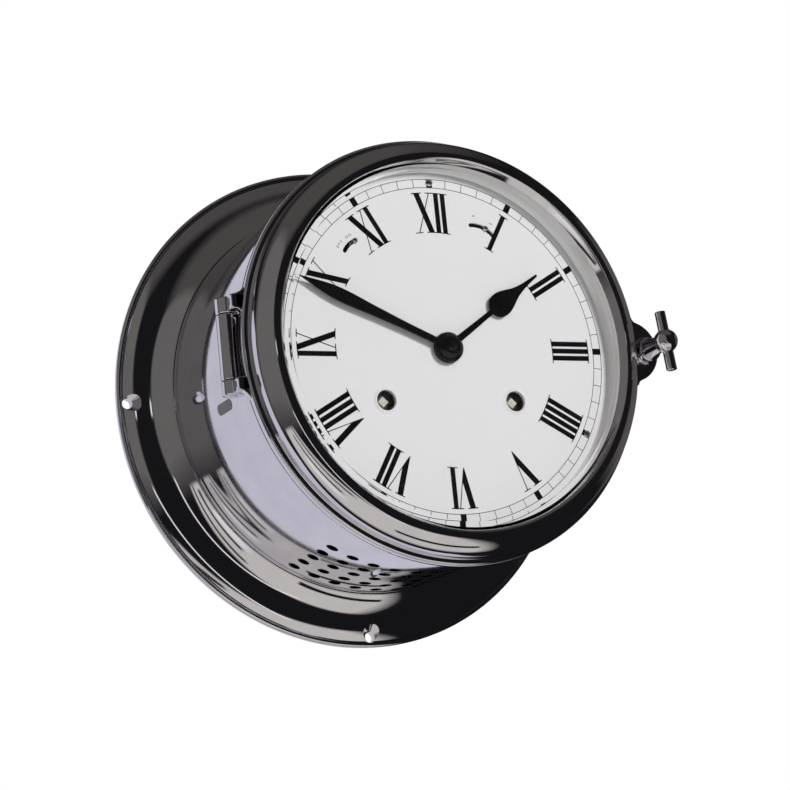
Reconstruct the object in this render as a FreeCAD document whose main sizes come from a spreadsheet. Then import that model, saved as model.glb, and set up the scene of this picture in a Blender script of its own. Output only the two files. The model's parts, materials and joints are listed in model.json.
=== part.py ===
"""Ship's bell deck clock: a polished drum case on a screwed base flange, with a hinged
glazed bezel, an eight-day spring movement and a bell inside.

Every sub-part is drawn lying on its back: local X is the clock's right, local Y is up and
local Z is the height above the wall. STAND turns that frame upright, so in the finished part
the origin is the centre of the wall face, +Z is up and the dial looks along -Y.
Angles round the dial run clockwise from twelve. Lengths are millimetres.
"""
import FreeCAD, Part
import math
import os
import re
import Sketcher

App = FreeCAD
Vec = App.Vector
UP = Vec(0, 0, 1)
STAND = App.Rotation(Vec(1, 0, 0), 90)

doc = App.newDocument("deck_clock")
sheet = doc.addObject("Spreadsheet::Sheet", "Dims")

CELLS = {
    # base flange and drum
    "flange_radius": 106.2, "rebate_radius": 93.4, "rebate_depth": 2.4, "cove_top": 14.4,
    "rim_height": 3.4, "bolt_circle": 102.0, "bolt_radius": 2.25, "sink_radius": 3.3,
    "drum_radius": 85.0, "drum_wall": 1.8, "drum_top": 94.4,
    "sound_radius": 2.6, "sound_pitch": 9.75, "sound_turn": 6.5, "sound_first": 23.9,
    # dial and its seat
    "dial_front": 99.0, "dial_radius": 74.7, "dial_thick": 1.2, "seat_bore": 64.0,
    "seat_step": 78.6, "centre_hole": 4.6, "winding_hole": 4.2, "dial_screw_circle": 70.6,
    # bezel, glass, hinge and lock
    "bezel_radius": 89.0, "bezel_bore": 80.0, "bezel_back": 95.3, "bezel_front": 112.6,
    "sight_radius": 76.75, "glass_radius": 78.6, "glass_back": 107.0, "glass_front": 110.0,
    "hinge_offset": 89.85, "hinge_height": 88.5, "knuckle_radius": 4.5, "pin_radius": 1.6,
    "hinge_low": -17.8, "hinge_top": 22.0, "knuckle_low": -11.6, "knuckle_top": 15.2,
    "lock_offset": 92.6, "ear_radius": 13.0, "ear_fillet": 3.0, "ear_front": 102.5,
    "ear_offset": 85.6, "lug_radius": 5.8, "lock_shank": 2.5, "lock_hole": 3.0,
    "lock_ball": 5.0, "ball_height": 119.2, "bar_radius": 2.25, "bar_length": 25.2,
    "bar_lean": 5.8,
    # movement plates and places of the arbors
    "plate_radius": 72.0, "plate_front": 91.0, "plate_thick": 2.5, "back_plate_front": 61.0,
    "pillar_circle": 66.0, "pivot_radius": 0.8, "pivot_play": 0.05, "arbor_radius": 1.3,
    "barrel_across": 29.2, "barrel_down": 21.7, "barrel_radius": 26.5, "key_square": 3.5,
    # bell
    "bell_radius": 46.0, "bell_mouth": 44.0, "bell_crown": 20.0, "bell_wall": 2.0,
}
for row, (alias, number) in enumerate(CELLS.items(), start=1):
    sheet.set(f"A{row}", alias)
    sheet.set(f"B{row}", str(number))
    sheet.setAlias(f"B{row}", alias)
doc.recompute()


def size(text):
    """The value of 'alias', a number, or 'alias+number', read from the sheet."""
    alias, extra = re.fullmatch(r"([a-z_]*)([+-]?[0-9.]*)", str(text)).groups()
    return (sheet.get(alias) if alias else 0.0) + (float(extra) if extra else 0.0)


def bound(text):
    """The same text as a FreeCAD expression."""
    return re.sub(r"^([a-z_]+)", r"Dims.\1", str(text))


def clock_point(radius, degrees):
    """A point on the dial plane, measured clockwise from twelve."""
    turn = math.radians(degrees)
    return Vec(radius * math.sin(turn), radius * math.cos(turn), 0)


def stand(item, label, across=0.0, up=0.0, spin=0.0):
    """Name a finished sub-part and turn it upright about the wall face's centre."""
    item.Label = label
    place = App.Placement(Vec(across, up, 0), App.Rotation(UP, -spin))
    item.Placement = App.Placement(Vec(), STAND).multiply(place)
    finished.append(item)
    return item


finished = []


# ---------------------------------------------------------------- shape helpers

def turned_body(name, outline):
    """A PartDesign body: an outline of (radius, height) pairs revolved about local Z.

    A pair may be followed by a third entry, (radius, height) of a point on an arc that
    leads from it to the next pair.
    """
    body = doc.addObject("PartDesign::Body", name)
    sketch = body.newObject("Sketcher::SketchObject", name + "_outline")
    plane = [item for item in body.Origin.OriginFeatures if item.Role == "XZ_Plane"][0]
    sketch.AttachmentSupport = (plane, [""])
    sketch.MapMode = "FlatFace"
    ends = []
    for index, entry in enumerate(outline):
        following = outline[(index + 1) % len(outline)]
        start = Vec(size(entry[0]), size(entry[1]), 0)
        end = Vec(size(following[0]), size(following[1]), 0)
        if len(entry) == 3:
            middle = Vec(entry[2][0], entry[2][1], 0)
            edge = sketch.addGeometry(Part.Arc(start, middle, end))
        else:
            edge = sketch.addGeometry(Part.LineSegment(start, end))
        first = 1 if sketch.getPoint(edge, 1).distanceToPoint(start) < 1e-6 else 2
        ends.append((edge, first, 3 - first))
    for index, entry in enumerate(outline):
        edge, first, last = ends[index]
        before = ends[index - 1]
        sketch.addConstraint(Sketcher.Constraint("Coincident", before[0], before[2], edge, first))
        if size(entry[0]) < 1e-9:
            sketch.addConstraint(Sketcher.Constraint("PointOnObject", edge, first, -2))
        else:
            across = sketch.addConstraint(
                Sketcher.Constraint("DistanceX", -1, 1, edge, first, size(entry[0])))
            sketch.setExpression(f"Constraints[{across}]", bound(entry[0]))
        height = sketch.addConstraint(
            Sketcher.Constraint("DistanceY", -1, 1, edge, first, size(entry[1])))
        sketch.setExpression(f"Constraints[{height}]", bound(entry[1]))
        if len(entry) == 3:
            radius = sketch.Geometry[edge].Radius
            sketch.addConstraint(Sketcher.Constraint("Radius", edge, radius))
    turning = body.newObject("PartDesign::Revolution", name + "_turning")
    turning.Profile = sketch
    turning.ReferenceAxis = (sketch, ["V_Axis"])
    turning.Angle = 360
    return body


def cylinder(name, radius, height, base=Vec(), turn=App.Rotation()):
    """A Part::Cylinder whose radius and height follow the sheet."""
    item = doc.addObject("Part::Cylinder", name)
    item.Radius = size(radius)
    item.Height = size(height)
    if re.match("[a-z]", str(radius)):
        item.setExpression("Radius", bound(radius))
    if re.match("[a-z]", str(height)):
        item.setExpression("Height", bound(height))
    item.Placement = App.Placement(base, turn)
    return item


def block(name, low, high):
    """A Part::Box between two opposite corners."""
    item = doc.addObject("Part::Box", name)
    item.Length, item.Width, item.Height = high.x - low.x, high.y - low.y, high.z - low.z
    item.Placement = App.Placement(low, App.Rotation())
    return item


def shaped(name, shape):
    """A Part::Feature for an outline or a group that no body or primitive gives."""
    item = doc.addObject("Part::Feature", name)
    item.Shape = shape
    return item


def fused(name, pieces):
    item = doc.addObject("Part::MultiFuse", name)
    item.Shapes = pieces
    return item


def cut(name, base, tool):
    item = doc.addObject("Part::Cut", name)
    item.Base = base
    item.Tool = tool
    return item


def slab(edges, bottom, thick):
    """A closed outline of edges or points, raised to a flat slab."""
    if isinstance(edges[0], Vec):
        wire = Part.makePolygon(list(edges) + [edges[0]])
    else:
        wire = Part.Wire([edge.toShape() for edge in edges])
    face = Part.Face(wire)
    face.translate(Vec(0, 0, bottom))
    return face.extrude(Vec(0, 0, thick))


def rod(radius, low, high, at=Vec()):
    return Part.makeCylinder(radius, high - low, Vec(at.x, at.y, low))


def tube(outer, inner, low, high, at=Vec()):
    return rod(outer, low, high, at).cut(rod(inner, low - 1, high + 1, at))


# ---------------------------------------------------------------- case

turned_flange = turned_body("flange_turning", [
    ("drum_radius", "rebate_depth"), ("rebate_radius", "rebate_depth"), ("rebate_radius", 0.0),
    ("flange_radius-0.8", 0.0), ("flange_radius", 0.8),
    ("flange_radius", 1.9, (105.78, 2.96)), ("flange_radius-1.5", "rim_height"),
    ("flange_radius-2.3", "rim_height-0.3", (100.24, 5.27)),
    ("flange_radius-10", 6.6, (89.94, 9.36)),
    ("drum_radius+0.3", "cove_top"), ("drum_radius", "cove_top")])
bolt_tools = []
for quarter in range(4):
    spot = clock_point(size("bolt_circle"), 90 * quarter)
    bolt_tools.append(rod(size("bolt_radius"), -1, 12, spot))
    sink = Part.makeCone(size("bolt_radius"), size("sink_radius") + 2.0, 3.05,
                         Vec(spot.x, spot.y, 3.4))
    bolt_tools.append(sink)
cover_circle = size("drum_radius") + 4.2
cover_spots = [clock_point(cover_circle, 45 + 90 * quarter) for quarter in range(4)]
cover_taps = [rod(1.4, 2, 5.6, spot) for spot in cover_spots]
flange_tools = shaped("flange_holes", Part.makeCompound(bolt_tools + cover_taps))
stand(cut("flange_cut", turned_flange, flange_tools), "base_flange")

drum_outer = cylinder("drum_outer", "drum_radius", "drum_top-2.4", Vec(0, 0, 2.4))
drum_inner = cylinder("drum_inner", size("drum_radius") - size("drum_wall"), "drum_top",
                      Vec(0, 0, 0))
drum_shell = cut("drum_shell", drum_outer, drum_inner)
sound_tools = []
for row in range(5):
    for column in range(10):
        bearing = 180 + size("sound_turn") * (column - 4.5)
        height = size("sound_first") + size("sound_pitch") * row
        outward = clock_point(1, bearing)
        start = outward * (size("drum_radius") - 6)
        sound_tools.append(Part.makeCylinder(size("sound_radius"), 10,
                                             Vec(start.x, start.y, height), outward))
plug_way = clock_point(1, -100.9)


def plug_shape(half, inner, outer):
    """A round-ended bar through the drum's wall, its long way along the drum."""
    ends = [Part.makeCylinder(half, outer - inner, plug_way * inner + Vec(0, 0, height), plug_way)
            for height in (58.6, 68.4)]
    middle = Part.makeBox(outer - inner, 2 * half, 9.8, Vec(inner, -half, 58.6))
    middle.rotate(Vec(), UP, 90 + 100.9)
    return ends[0].multiFuse([ends[1], middle]).removeSplitter()


drum_radius, drum_bore = size("drum_radius"), size("drum_radius") - size("drum_wall")
sound_tools.append(plug_shape(2.3, drum_bore - 3, drum_radius + 3))
stand(cut("drum_cut", drum_shell, shaped("sound_holes", Part.makeCompound(sound_tools))),
      "case_drum")

plug_solid = plug_shape(2.3, drum_bore - 1.4, drum_radius + 2).common(rod(drum_radius, 0, 100))
plug_inside = plug_shape(3.3, drum_bore - 1.4, drum_radius).common(rod(drum_bore, 0, 100))
stand(shaped("plug", plug_solid.fuse(plug_inside).removeSplitter()), "case_plug")

seat_rear = "drum_top-0.4"
seat = turned_body("seat_turning", [
    ("seat_bore", "drum_top+0.4"), (76.5, "drum_top+0.4"), (76.5, "drum_top-2.9"),
    ("drum_radius-1.8", "drum_top-2.9"), ("drum_radius-1.8", seat_rear),
    ("seat_step", seat_rear), ("seat_step", "dial_front-1.2"), ("seat_bore", "dial_front-1.2")])
seat_spots = [clock_point(size("dial_screw_circle"), 60 * step) for step in range(6)]
seat_taps = [rod(1.3, size("drum_top") - 1, size("dial_front"), spot) for spot in seat_spots]
stand(cut("seat_cut", seat, shaped("seat_taps", Part.makeCompound(seat_taps))),
      "dial_seat_ring")

stand(turned_body("gasket", [
    ("drum_radius-2.6", "drum_top"), ("drum_radius-0.3", "drum_top"),
    ("drum_radius-0.3", "drum_top+0.6"), ("drum_radius-2.6", "drum_top+0.6")]), "bezel_gasket")

stand(turned_body("cove", [
    ("dial_radius+0.05", "dial_front-1.2"), ("seat_step-0.4", "dial_front-1.2"),
    ("seat_step-0.4", "dial_front+6.3"), ("seat_step-1.0", "dial_front+6.3", (77.0, 101.9)),
    ("dial_radius+0.05", "dial_front+0.2")]), "dial_cove_ring")

cover_blank = cylinder("cover_blank", "rebate_radius-0.4", 1.6, Vec(0, 0, 0.6))
cover_tools = [rod(1.7, 0, 3, spot) for spot in cover_spots]
cover_tools.append(rod(2.1, 0, 3))
stand(cut("cover_cut", cover_blank, shaped("cover_holes", Part.makeCompound(cover_tools))),
      "back_cover")


def screw(radius, head_radius, low, high, head, at, slot=0.6):
    """A slotted screw: shank from low to high, its head from high on (or below if negative)."""
    shank = rod(radius, low, high, at)
    base = high if head > 0 else low + head
    cap = rod(head_radius, base, base + abs(head), at)
    if slot:
        slot_low = base + head / 2 if head > 0 else base - 1
        slot_high = base + head + 1 if head > 0 else base + abs(head) / 2
        cap = cap.cut(Part.makeBox(4 * head_radius, slot, slot_high - slot_low,
                                   Vec(at.x - 2 * head_radius, at.y - slot / 2, slot_low)))
    return shank.fuse(cap).removeSplitter()


stand(shaped("cover_screw_group", Part.makeCompound(
    [screw(1.4, 2.6, 0.6, 5.4, -0.5, spot) for spot in cover_spots])), "back_cover_screws")

# ---------------------------------------------------------------- hinge and lock on the case

ALONG_UP = App.Rotation(Vec(1, 0, 0), -90)
hinge_x = -size("hinge_offset")
hinge_z = size("hinge_height")


def knuckle(name, low, high):
    """A hinge barrel along the clock's vertical between two heights."""
    return cylinder(name, "knuckle_radius", high - low, Vec(hinge_x, low, hinge_z), ALONG_UP)


def hinge_bore(name, radius, low, high):
    return cylinder(name, radius, high - low, Vec(hinge_x, low, hinge_z), ALONG_UP)


case_low, case_high = size("knuckle_low") + 0.15, size("knuckle_top") - 0.15
case_barrel = knuckle("case_barrel", case_low, case_high)
case_bridge = block("case_bridge", Vec(hinge_x, case_low, hinge_z - 3.0),
                    Vec(-83.0, case_high, hinge_z + 2.7))
hinge_tools = fused("case_hinge_tools", [
    cylinder("case_hinge_drum", "drum_radius", 120),
    hinge_bore("case_hinge_bore", "pin_radius+0.05", case_low - 1, case_high + 1)])
stand(cut("case_hinge_cut", fused("case_hinge_blank", [case_barrel, case_bridge]), hinge_tools),
      "case_hinge_knuckle")

lug_low, lug_high = 82.0, size("drum_top") - 0.4
lock_x, lug_radius = size("lock_offset"), size("lug_radius")
lug_round = cylinder("lug_round", "lug_radius", lug_high - lug_low, Vec(lock_x, 0, lug_low))
lug_web = block("lug_web", Vec(82, -lug_radius, lug_low), Vec(lock_x, lug_radius, lug_high))
lug_tools = fused("lug_tools", [
    cylinder("lug_drum", "drum_radius", 120),
    cylinder("lug_hole", "lock_hole", 60, Vec(lock_x, 0, 60))])
stand(cut("lug_cut", fused("lug_blank", [lug_round, lug_web]), lug_tools), "lock_lug")

# ---------------------------------------------------------------- bezel

bezel_turning = turned_body("bezel_turning", [
    ("bezel_bore", "bezel_back"), ("bezel_radius-0.6", "bezel_back"),
    ("bezel_radius", "bezel_back+0.6"), ("bezel_radius", 98.4, (88.66, 99.52)),
    ("bezel_radius-1.3", 100.0), ("bezel_radius-2.2", 100.1),
    ("bezel_radius-2.6", 101.0, (84.66, 108.6)),
    ("bezel_bore-0.4", "bezel_front", (77.7, 112.3)), ("sight_radius", 111.2),
    ("sight_radius-1.25", 109.5), ("sight_radius-1.15", 109.1),
    ("glass_radius+0.2", 109.0), ("glass_radius+0.2", "glass_back"),
    ("bezel_bore", "glass_back")])


def ear_outline():
    """The lock ear: a round lobe flowing into the bezel's edge through two hollow fillets."""
    rim, lobe, fillet = size("bezel_radius"), size("ear_radius"), size("ear_fillet")
    offset = size("ear_offset")
    near, far = lobe + fillet, rim + fillet
    fillet_x = (far * far - near * near + offset * offset) / (2 * offset)
    fillet_y = math.sqrt(far * far - fillet_x * fillet_x)
    edges = []
    corners = {}
    for side in (1, -1):
        centre = Vec(fillet_x, side * fillet_y, 0)
        on_rim = centre * (rim / far)
        on_lobe = Vec(offset, 0, 0) + (centre - Vec(offset, 0, 0)) * (lobe / near)
        inward = ((on_rim + on_lobe) * 0.5 - centre).normalize()
        corners[side] = (on_rim, centre + inward * fillet, on_lobe)
    top, low = corners[1], corners[-1]
    inner = rim - 5
    edges.append(Part.LineSegment(Vec(inner, top[0].y, 0), top[0]))
    edges.append(Part.Arc(*top))
    edges.append(Part.Arc(top[2], Vec(offset + lobe, 0, 0), low[2]))
    edges.append(Part.Arc(low[2], low[1], low[0]))
    edges.append(Part.LineSegment(low[0], Vec(inner, low[0].y, 0)))
    edges.append(Part.LineSegment(Vec(inner, low[0].y, 0), Vec(inner, top[0].y, 0)))
    return edges


ear = shaped("ear", slab(ear_outline(), size("bezel_back"),
                         size("ear_front") - size("bezel_back")))


def rim_x(height):
    """Where the bezel's left edge is at a height, a little inside it."""
    rim = size("bezel_radius")
    return 0.3 - math.sqrt(rim * rim - height * height)


def arm_root(low, high, low_flow, high_flow):
    """The outline of a hinge arm's foot, flowing into the rim below and above."""
    left = hinge_x - 1.6
    low_end = Vec(rim_x(low - low_flow), low - low_flow, 0)
    high_end = Vec(rim_x(high + high_flow), high + high_flow, 0)
    low_start, high_start = Vec(hinge_x - 0.2, low + 0.3, 0), Vec(hinge_x - 0.2, high - 0.3, 0)
    low_side, high_side = Vec(left, low + 1.8, 0), Vec(left, high - 1.8, 0)
    inner_low, inner_high = Vec(-83, low_end.y, 0), Vec(-83, high_end.y, 0)
    return [Part.LineSegment(inner_low, low_end),
            Part.Arc(low_end, Vec(-88.2, low - 0.2 * low_flow, 0), low_start),
            Part.Arc(low_start, Vec(left + 0.3, low + 0.8, 0), low_side),
            Part.LineSegment(low_side, high_side),
            Part.Arc(high_side, Vec(left + 0.3, high - 0.8, 0), high_start),
            Part.Arc(high_start, Vec(-87.9, high + 0.2 * high_flow, 0), high_end),
            Part.LineSegment(high_end, inner_high),
            Part.LineSegment(inner_high, inner_low)]


arm_parts = []
for name, low, high, low_flow, high_flow in (
        ("top", size("knuckle_top") + 0.15, size("hinge_top"), 1.5, 3.0),
        ("low", size("hinge_low"), size("knuckle_low") - 0.15, 5.5, 1.5)):
    arm_parts.append(knuckle(f"{name}_barrel", low, high))
    arm_parts.append(block(f"{name}_arm", Vec(hinge_x - 1.6, low + 0.3, hinge_z),
                           Vec(hinge_x + 3.6, high - 0.3, size("bezel_back") + 0.5)))
    arm_parts.append(shaped(f"{name}_root", slab(arm_root(low, high, low_flow, high_flow),
                                                 size("bezel_back"), 2.9)))
bezel_tools = fused("bezel_tools", [
    hinge_bore("bezel_pin_bore", "pin_radius", size("hinge_low") - 1, size("hinge_top") + 1),
    cylinder("bezel_screw_bore", "lock_hole", 30, Vec(lock_x, 0, 85))])
stand(cut("bezel_cut", fused("bezel_blank", [bezel_turning, ear] + arm_parts), bezel_tools),
      "bezel_ring")

stand(turned_body("glass", [
    (0.0, "glass_back"), ("glass_radius", "glass_back"), ("glass_radius", 108.9),
    (76.0, 108.9), (73.3, "glass_front"), (0.0, "glass_front")]), "bezel_glass")
stand(turned_body("retainer", [
    (77.4, 105.7), ("bezel_bore", 105.7), ("bezel_bore", "glass_back"),
    (77.4, "glass_back")]), "glass_retaining_ring")
stand(hinge_bore("pin", "pin_radius", size("hinge_low") + 0.2, size("hinge_top") - 0.2),
      "hinge_pin")
# The pin is the one sub-part that is already drawn along the clock's vertical.
finished[-1].Placement = App.Placement(Vec(hinge_x, -hinge_z, size("hinge_low") + 0.2),
                                       App.Rotation())

stand(turned_body("washer", [
    ("lock_shank+0.1", "ear_front+0.1"), (5.8, "ear_front+0.1"), (5.8, "ear_front+1.2"),
    ("lock_shank+0.1", "ear_front+1.2")]), "lock_washer", lock_x)
lock_turning = turned_body("lock_turning", [
    (0.0, 85.2), ("lock_shank-0.6", 85.2), ("lock_shank", 85.9),
    ("lock_shank", "ear_front+1.3"), (5.2, "ear_front+1.3"), (5.2, "ear_front+3.5"),
    (4.4, "ear_front+4.7"), (3.3, "ball_height-3.7"), (0.0, "ball_height-3.7")])
ball = doc.addObject("Part::Sphere", "lock_sphere")
ball.setExpression("Radius", "Dims.lock_ball")
ball.Placement = App.Placement(Vec(0, 0, size("ball_height")), App.Rotation())
bar_place = App.Rotation(UP, size("bar_lean")).multiply(ALONG_UP)
bar_start = bar_place.multVec(Vec(0, 0, -size("bar_length") / 2))
bar_base = Vec(bar_start.x, bar_start.y, size("ball_height"))
bar_bore = cylinder("bar_bore", "bar_radius", "bar_length", bar_base, bar_place)
stand(cut("lock_cut", fused("lock_blank", [lock_turning, ball]), bar_bore), "lock_screw", lock_x)
bar_rod = cylinder("bar_rod", "bar_radius", "bar_length", bar_base, bar_place)
doc.recompute()
bar = doc.addObject("Part::Chamfer", "bar_ends")
bar.Base = bar_rod
bar.Edges = [(number, 0.4, 0.4) for number, edge in enumerate(bar_rod.Shape.Edges, start=1)
             if isinstance(edge.Curve, Part.Circle)]
stand(bar, "lock_tee_bar", lock_x)

# ---------------------------------------------------------------- dial

LEVERS = {
    # pivot of the lever, length to its pin, bearing of the slot's two ends and of the pin
    "strike_lever": (Vec(-33.1, 36.0, 0), 9.0, -63.0, -22.0, -22.0),
    "regulator_lever": (Vec(18.2, 41.6, 0), 11.5, -4.5, 55.5, 29.0),
}


def slot_tool(pivot, reach, first, last, half):
    """A curved slot about a lever's pivot, with round ends, through the dial."""
    inner, outer = reach - half, reach + half
    middle = (first + last) / 2
    edges = [
        Part.Arc(pivot + clock_point(outer, first), pivot + clock_point(outer, middle),
                 pivot + clock_point(outer, last)),
        Part.Arc(pivot + clock_point(outer, last),
                 pivot + clock_point(reach, last) + clock_point(half, last + 90),
                 pivot + clock_point(inner, last)),
        Part.Arc(pivot + clock_point(inner, last), pivot + clock_point(inner, middle),
                 pivot + clock_point(inner, first)),
        Part.Arc(pivot + clock_point(inner, first),
                 pivot + clock_point(reach, first) + clock_point(half, first - 90),
                 pivot + clock_point(outer, first))]
    return slab(edges, 95, 8)


dial_low = size("dial_front") - size("dial_thick")
dial_blank = cylinder("dial_blank", "dial_radius", "dial_thick", Vec(0, 0, dial_low))
barrel_spots = {"strike": Vec(-size("barrel_across"), -size("barrel_down"), 0),
                "time": Vec(size("barrel_across"), -size("barrel_down"), 0)}
dial_tools = [rod(size("centre_hole"), 95, 102)]
dial_tools += [rod(size("winding_hole"), 95, 102, spot) for spot in barrel_spots.values()]
dial_tools += [rod(1.35, 95, 102, spot) for spot in seat_spots[::2]]
dial_tools += [slot_tool(pivot, reach, first, last, 0.9)
               for pivot, reach, first, last, pin in LEVERS.values()]
stand(cut("dial_cut", dial_blank, shaped("dial_holes", Part.makeCompound(dial_tools))),
      "dial_plate")
stand(shaped("dial_screw_group", Part.makeCompound(
    [screw(1.3, 1.6, 94.9, size("dial_front"), 0.5, spot, 0.3) for spot in seat_spots[::2]])),
    "dial_screws")

# ---------------------------------------------------------------- movement frame

plate_low = size("plate_front") - size("plate_thick")
back_low = size("back_plate_front") - size("plate_thick")
TIME, STRIKE = barrel_spots["time"], barrel_spots["strike"]


def toward(start, distance, degrees):
    """A point at a distance from another, the angle counted from the right hand upwards."""
    turn = math.radians(degrees)
    return start + Vec(distance * math.cos(turn), distance * math.sin(turn), 0)


# wheel teeth, pinion leaves; the module follows from the distance of the arbors
GREAT, LEAVES = 72, 12
great_module = 2 * TIME.Length / (GREAT + LEAVES)
CENTRE = Vec()
THIRD = toward(CENTRE, 34.0, 110)
FOURTH = toward(THIRD, 25.5, 10)
ESCAPE = toward(FOURTH, 18.0, -15)
BALANCE = toward(ESCAPE, 23.6, -43.5)
PALLET = toward(ESCAPE, 9.9, -43.5)
PIN_WHEEL = toward(STRIKE, TIME.Length, 95)
LOCKING = toward(PIN_WHEEL, 21.0, 110)
FLY = toward(LOCKING, 14.5, 200)
HAMMER = Vec(-58.0, 8.0, 0)
MOTION = Vec(0, 19.2, 0)
pivots = [THIRD, FOURTH, ESCAPE, BALANCE, PALLET, PIN_WHEEL, LOCKING, FLY, HAMMER]
play = size("pivot_play")
pillar_spots = [clock_point(size("pillar_circle"), bearing)
                for bearing in (28, 100, 160, 200, 260, 332)]
click_spots = {"time": TIME + clock_point(15.5, 60), "strike": STRIKE + clock_point(15.5, -60)}

front_tools = [rod(size("pivot_radius") + play, 80, 95, spot) for spot in pivots]
front_tools += [rod(3.0 + play, 80, 95, spot) for spot in barrel_spots.values()]
front_tools.append(rod(size("arbor_radius") + 0.2 + play, 80, 95))
front_tools.append(rod(1.0 + play, 80, 95, MOTION))
front_tools += [rod(1.5 + play, 80, 95, lever[0]) for lever in LEVERS.values()]
front_tools += [rod(1.2 + play, 80, 95, spot) for spot in click_spots.values()]
front_tools += [rod(1.3, 80, 95, spot) for spot in seat_spots[1::2]]
front_tools += [rod(1.2, 80, 95, spot) for spot in pillar_spots]
front_blank = cylinder("front_blank", "plate_radius", "plate_thick", Vec(0, 0, plate_low))
stand(cut("front_cut", front_blank, shaped("front_holes", Part.makeCompound(front_tools))),
      "front_plate")

back_tools = [rod(size("pivot_radius") + play, 50, 65, spot) for spot in pivots[:-1]]
back_tools.append(rod(1.6 + play, 50, 65, HAMMER))
back_tools += [rod(2.0 + play, 50, 65, spot) for spot in barrel_spots.values()]
back_tools.append(rod(size("pivot_radius") + play, 50, 65))
back_tools += [rod(1.2, 50, 65, spot) for spot in pillar_spots]
back_blank = cylinder("back_blank", "plate_radius", "plate_thick", Vec(0, 0, back_low))
stand(cut("back_cut", back_blank, shaped("back_holes", Part.makeCompound(back_tools))),
      "back_plate")

pillars = []
for spot in pillar_spots:
    post = rod(3.2, size("back_plate_front"), plate_low, spot)
    waist = tube(4.0, 2.4, size("back_plate_front") + 5, plate_low - 5, spot)
    taps = rod(1.2, size("back_plate_front"), size("back_plate_front") + 5, spot)
    taps = taps.fuse(rod(1.2, plate_low - 5, plate_low, spot))
    pillars.append(post.cut(waist).cut(taps))
stand(shaped("pillar_group", Part.makeCompound(pillars)), "plate_pillars")
pillar_screws = [screw(1.2, 2.4, plate_low - 4.5, size("plate_front"), 1.0, spot)
                 for spot in pillar_spots]
pillar_screws += [screw(1.2, 2.4, back_low, back_low + 7.0, -1.0, spot) for spot in pillar_spots]
stand(shaped("pillar_screw_group", Part.makeCompound(pillar_screws)), "pillar_screws")

spacer_top = size("drum_top") + 0.4
stand(shaped("spacer_group", Part.makeCompound(
    [tube(2.8, 1.3, size("plate_front"), spacer_top, spot) for spot in seat_spots[1::2]])),
    "movement_spacers")
stand(shaped("movement_screw_group", Part.makeCompound(
    [screw(1.3, 2.6, plate_low, spacer_top + 2.4, -1.2, spot) for spot in seat_spots[1::2]])),
    "movement_screws")

# ---------------------------------------------------------------- toothed wheels

def toothed(teeth, module, low, thick, tooth_at, depth=1.05):
    """A spur wheel with straight-flanked teeth and backlash; one tooth points at tooth_at.

    tooth_at is counted in degrees from the right hand upwards.
    """
    pitch_radius = teeth * module / 2
    pitch = 360.0 / teeth
    root, tip = pitch_radius - depth * module, pitch_radius + 0.75 * module
    points = []
    for tooth in range(teeth):
        middle = tooth_at + tooth * pitch
        for radius, share in ((root, -0.29), (tip, -0.12), (tip, 0.12), (root, 0.29)):
            turn = math.radians(middle + share * pitch)
            points.append(Vec(radius * math.cos(turn), radius * math.sin(turn), 0))
    return slab(points, low, thick)


def crossed(wheel, rim, hub, low, thick, spokes=4, spoke_width=3.0):
    """Cut the windows between a wheel's spokes."""
    band = tube(rim, hub, low - 1, low + thick + 1)
    for spoke in range(spokes):
        arm = Part.makeBox(rim + 1, spoke_width, thick + 4, Vec(0, -spoke_width / 2, low - 2))
        arm.rotate(Vec(), UP, 360.0 / spokes * spoke + 20)
        band = band.cut(arm)
    return wheel.cut(band)


def bearing_between(start, end):
    """The direction from one arbor to another, in degrees from the right hand upwards."""
    return math.degrees(math.atan2(end.y - start.y, end.x - start.x))


def gap_at(teeth, degrees):
    """The tooth direction that leaves a gap pointing along the given direction."""
    return degrees + 180.0 / teeth


def arbor(low, high, radius=None, pivot=None):
    """An arbor with a smaller pivot at each end, running through both plates."""
    radius = radius or size("arbor_radius")
    pivot = pivot or size("pivot_radius")
    body = rod(radius, size("back_plate_front") + 0.3, plate_low - 0.3)
    return body.fuse(rod(pivot, low, high))


back_end, front_end = back_low, size("plate_front")


def train_piece(label, at, shapes):
    """One wheel, pinion and arbor, made up as one piece and set at its place."""
    solid = shapes[0].multiFuse(shapes[1:]).removeSplitter()
    return stand(shaped(label + "_shape", solid), label, at.x, at.y)


# going train, from the barrel to the balance
CENTRE_TEETH, THIRD_TEETH, FOURTH_TEETH = 80, 75, 80
PINION, ESCAPE_LEAVES = 10, 8
centre_module = 2 * CENTRE.distanceToPoint(THIRD) / (CENTRE_TEETH + PINION)
third_module = 2 * THIRD.distanceToPoint(FOURTH) / (THIRD_TEETH + PINION)
fourth_module = 2 * FOURTH.distanceToPoint(ESCAPE) / (FOURTH_TEETH + ESCAPE_LEAVES)
great_bearing = bearing_between(TIME, CENTRE)


def barrel(label, at, wheel_low, tooth_at):
    """A mainspring barrel: drum, cover and great wheel, hollow round the winding arbor."""
    low, high = 69.0, 84.6
    wall = size("barrel_radius")
    shell = rod(wall, low, high).cut(rod(wall - 1.2, low + 1.2, high - 1.2))
    wheel = toothed(GREAT, great_module, wheel_low, 2.0, tooth_at)
    step_low, step_high = min(low, wheel_low), max(high, wheel_low + 2.0)
    neck = rod(8.0, step_low, low + 1).fuse(rod(8.0, high - 1, step_high))
    solid = shell.fuse([wheel, neck.cut(rod(wall - 1.2, low + 1.2, high - 1.2))])
    solid = solid.cut(rod(3.0 + play, 60, 90)).removeSplitter()
    return stand(shaped(label + "_shape", solid), label, at.x, at.y)


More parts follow.
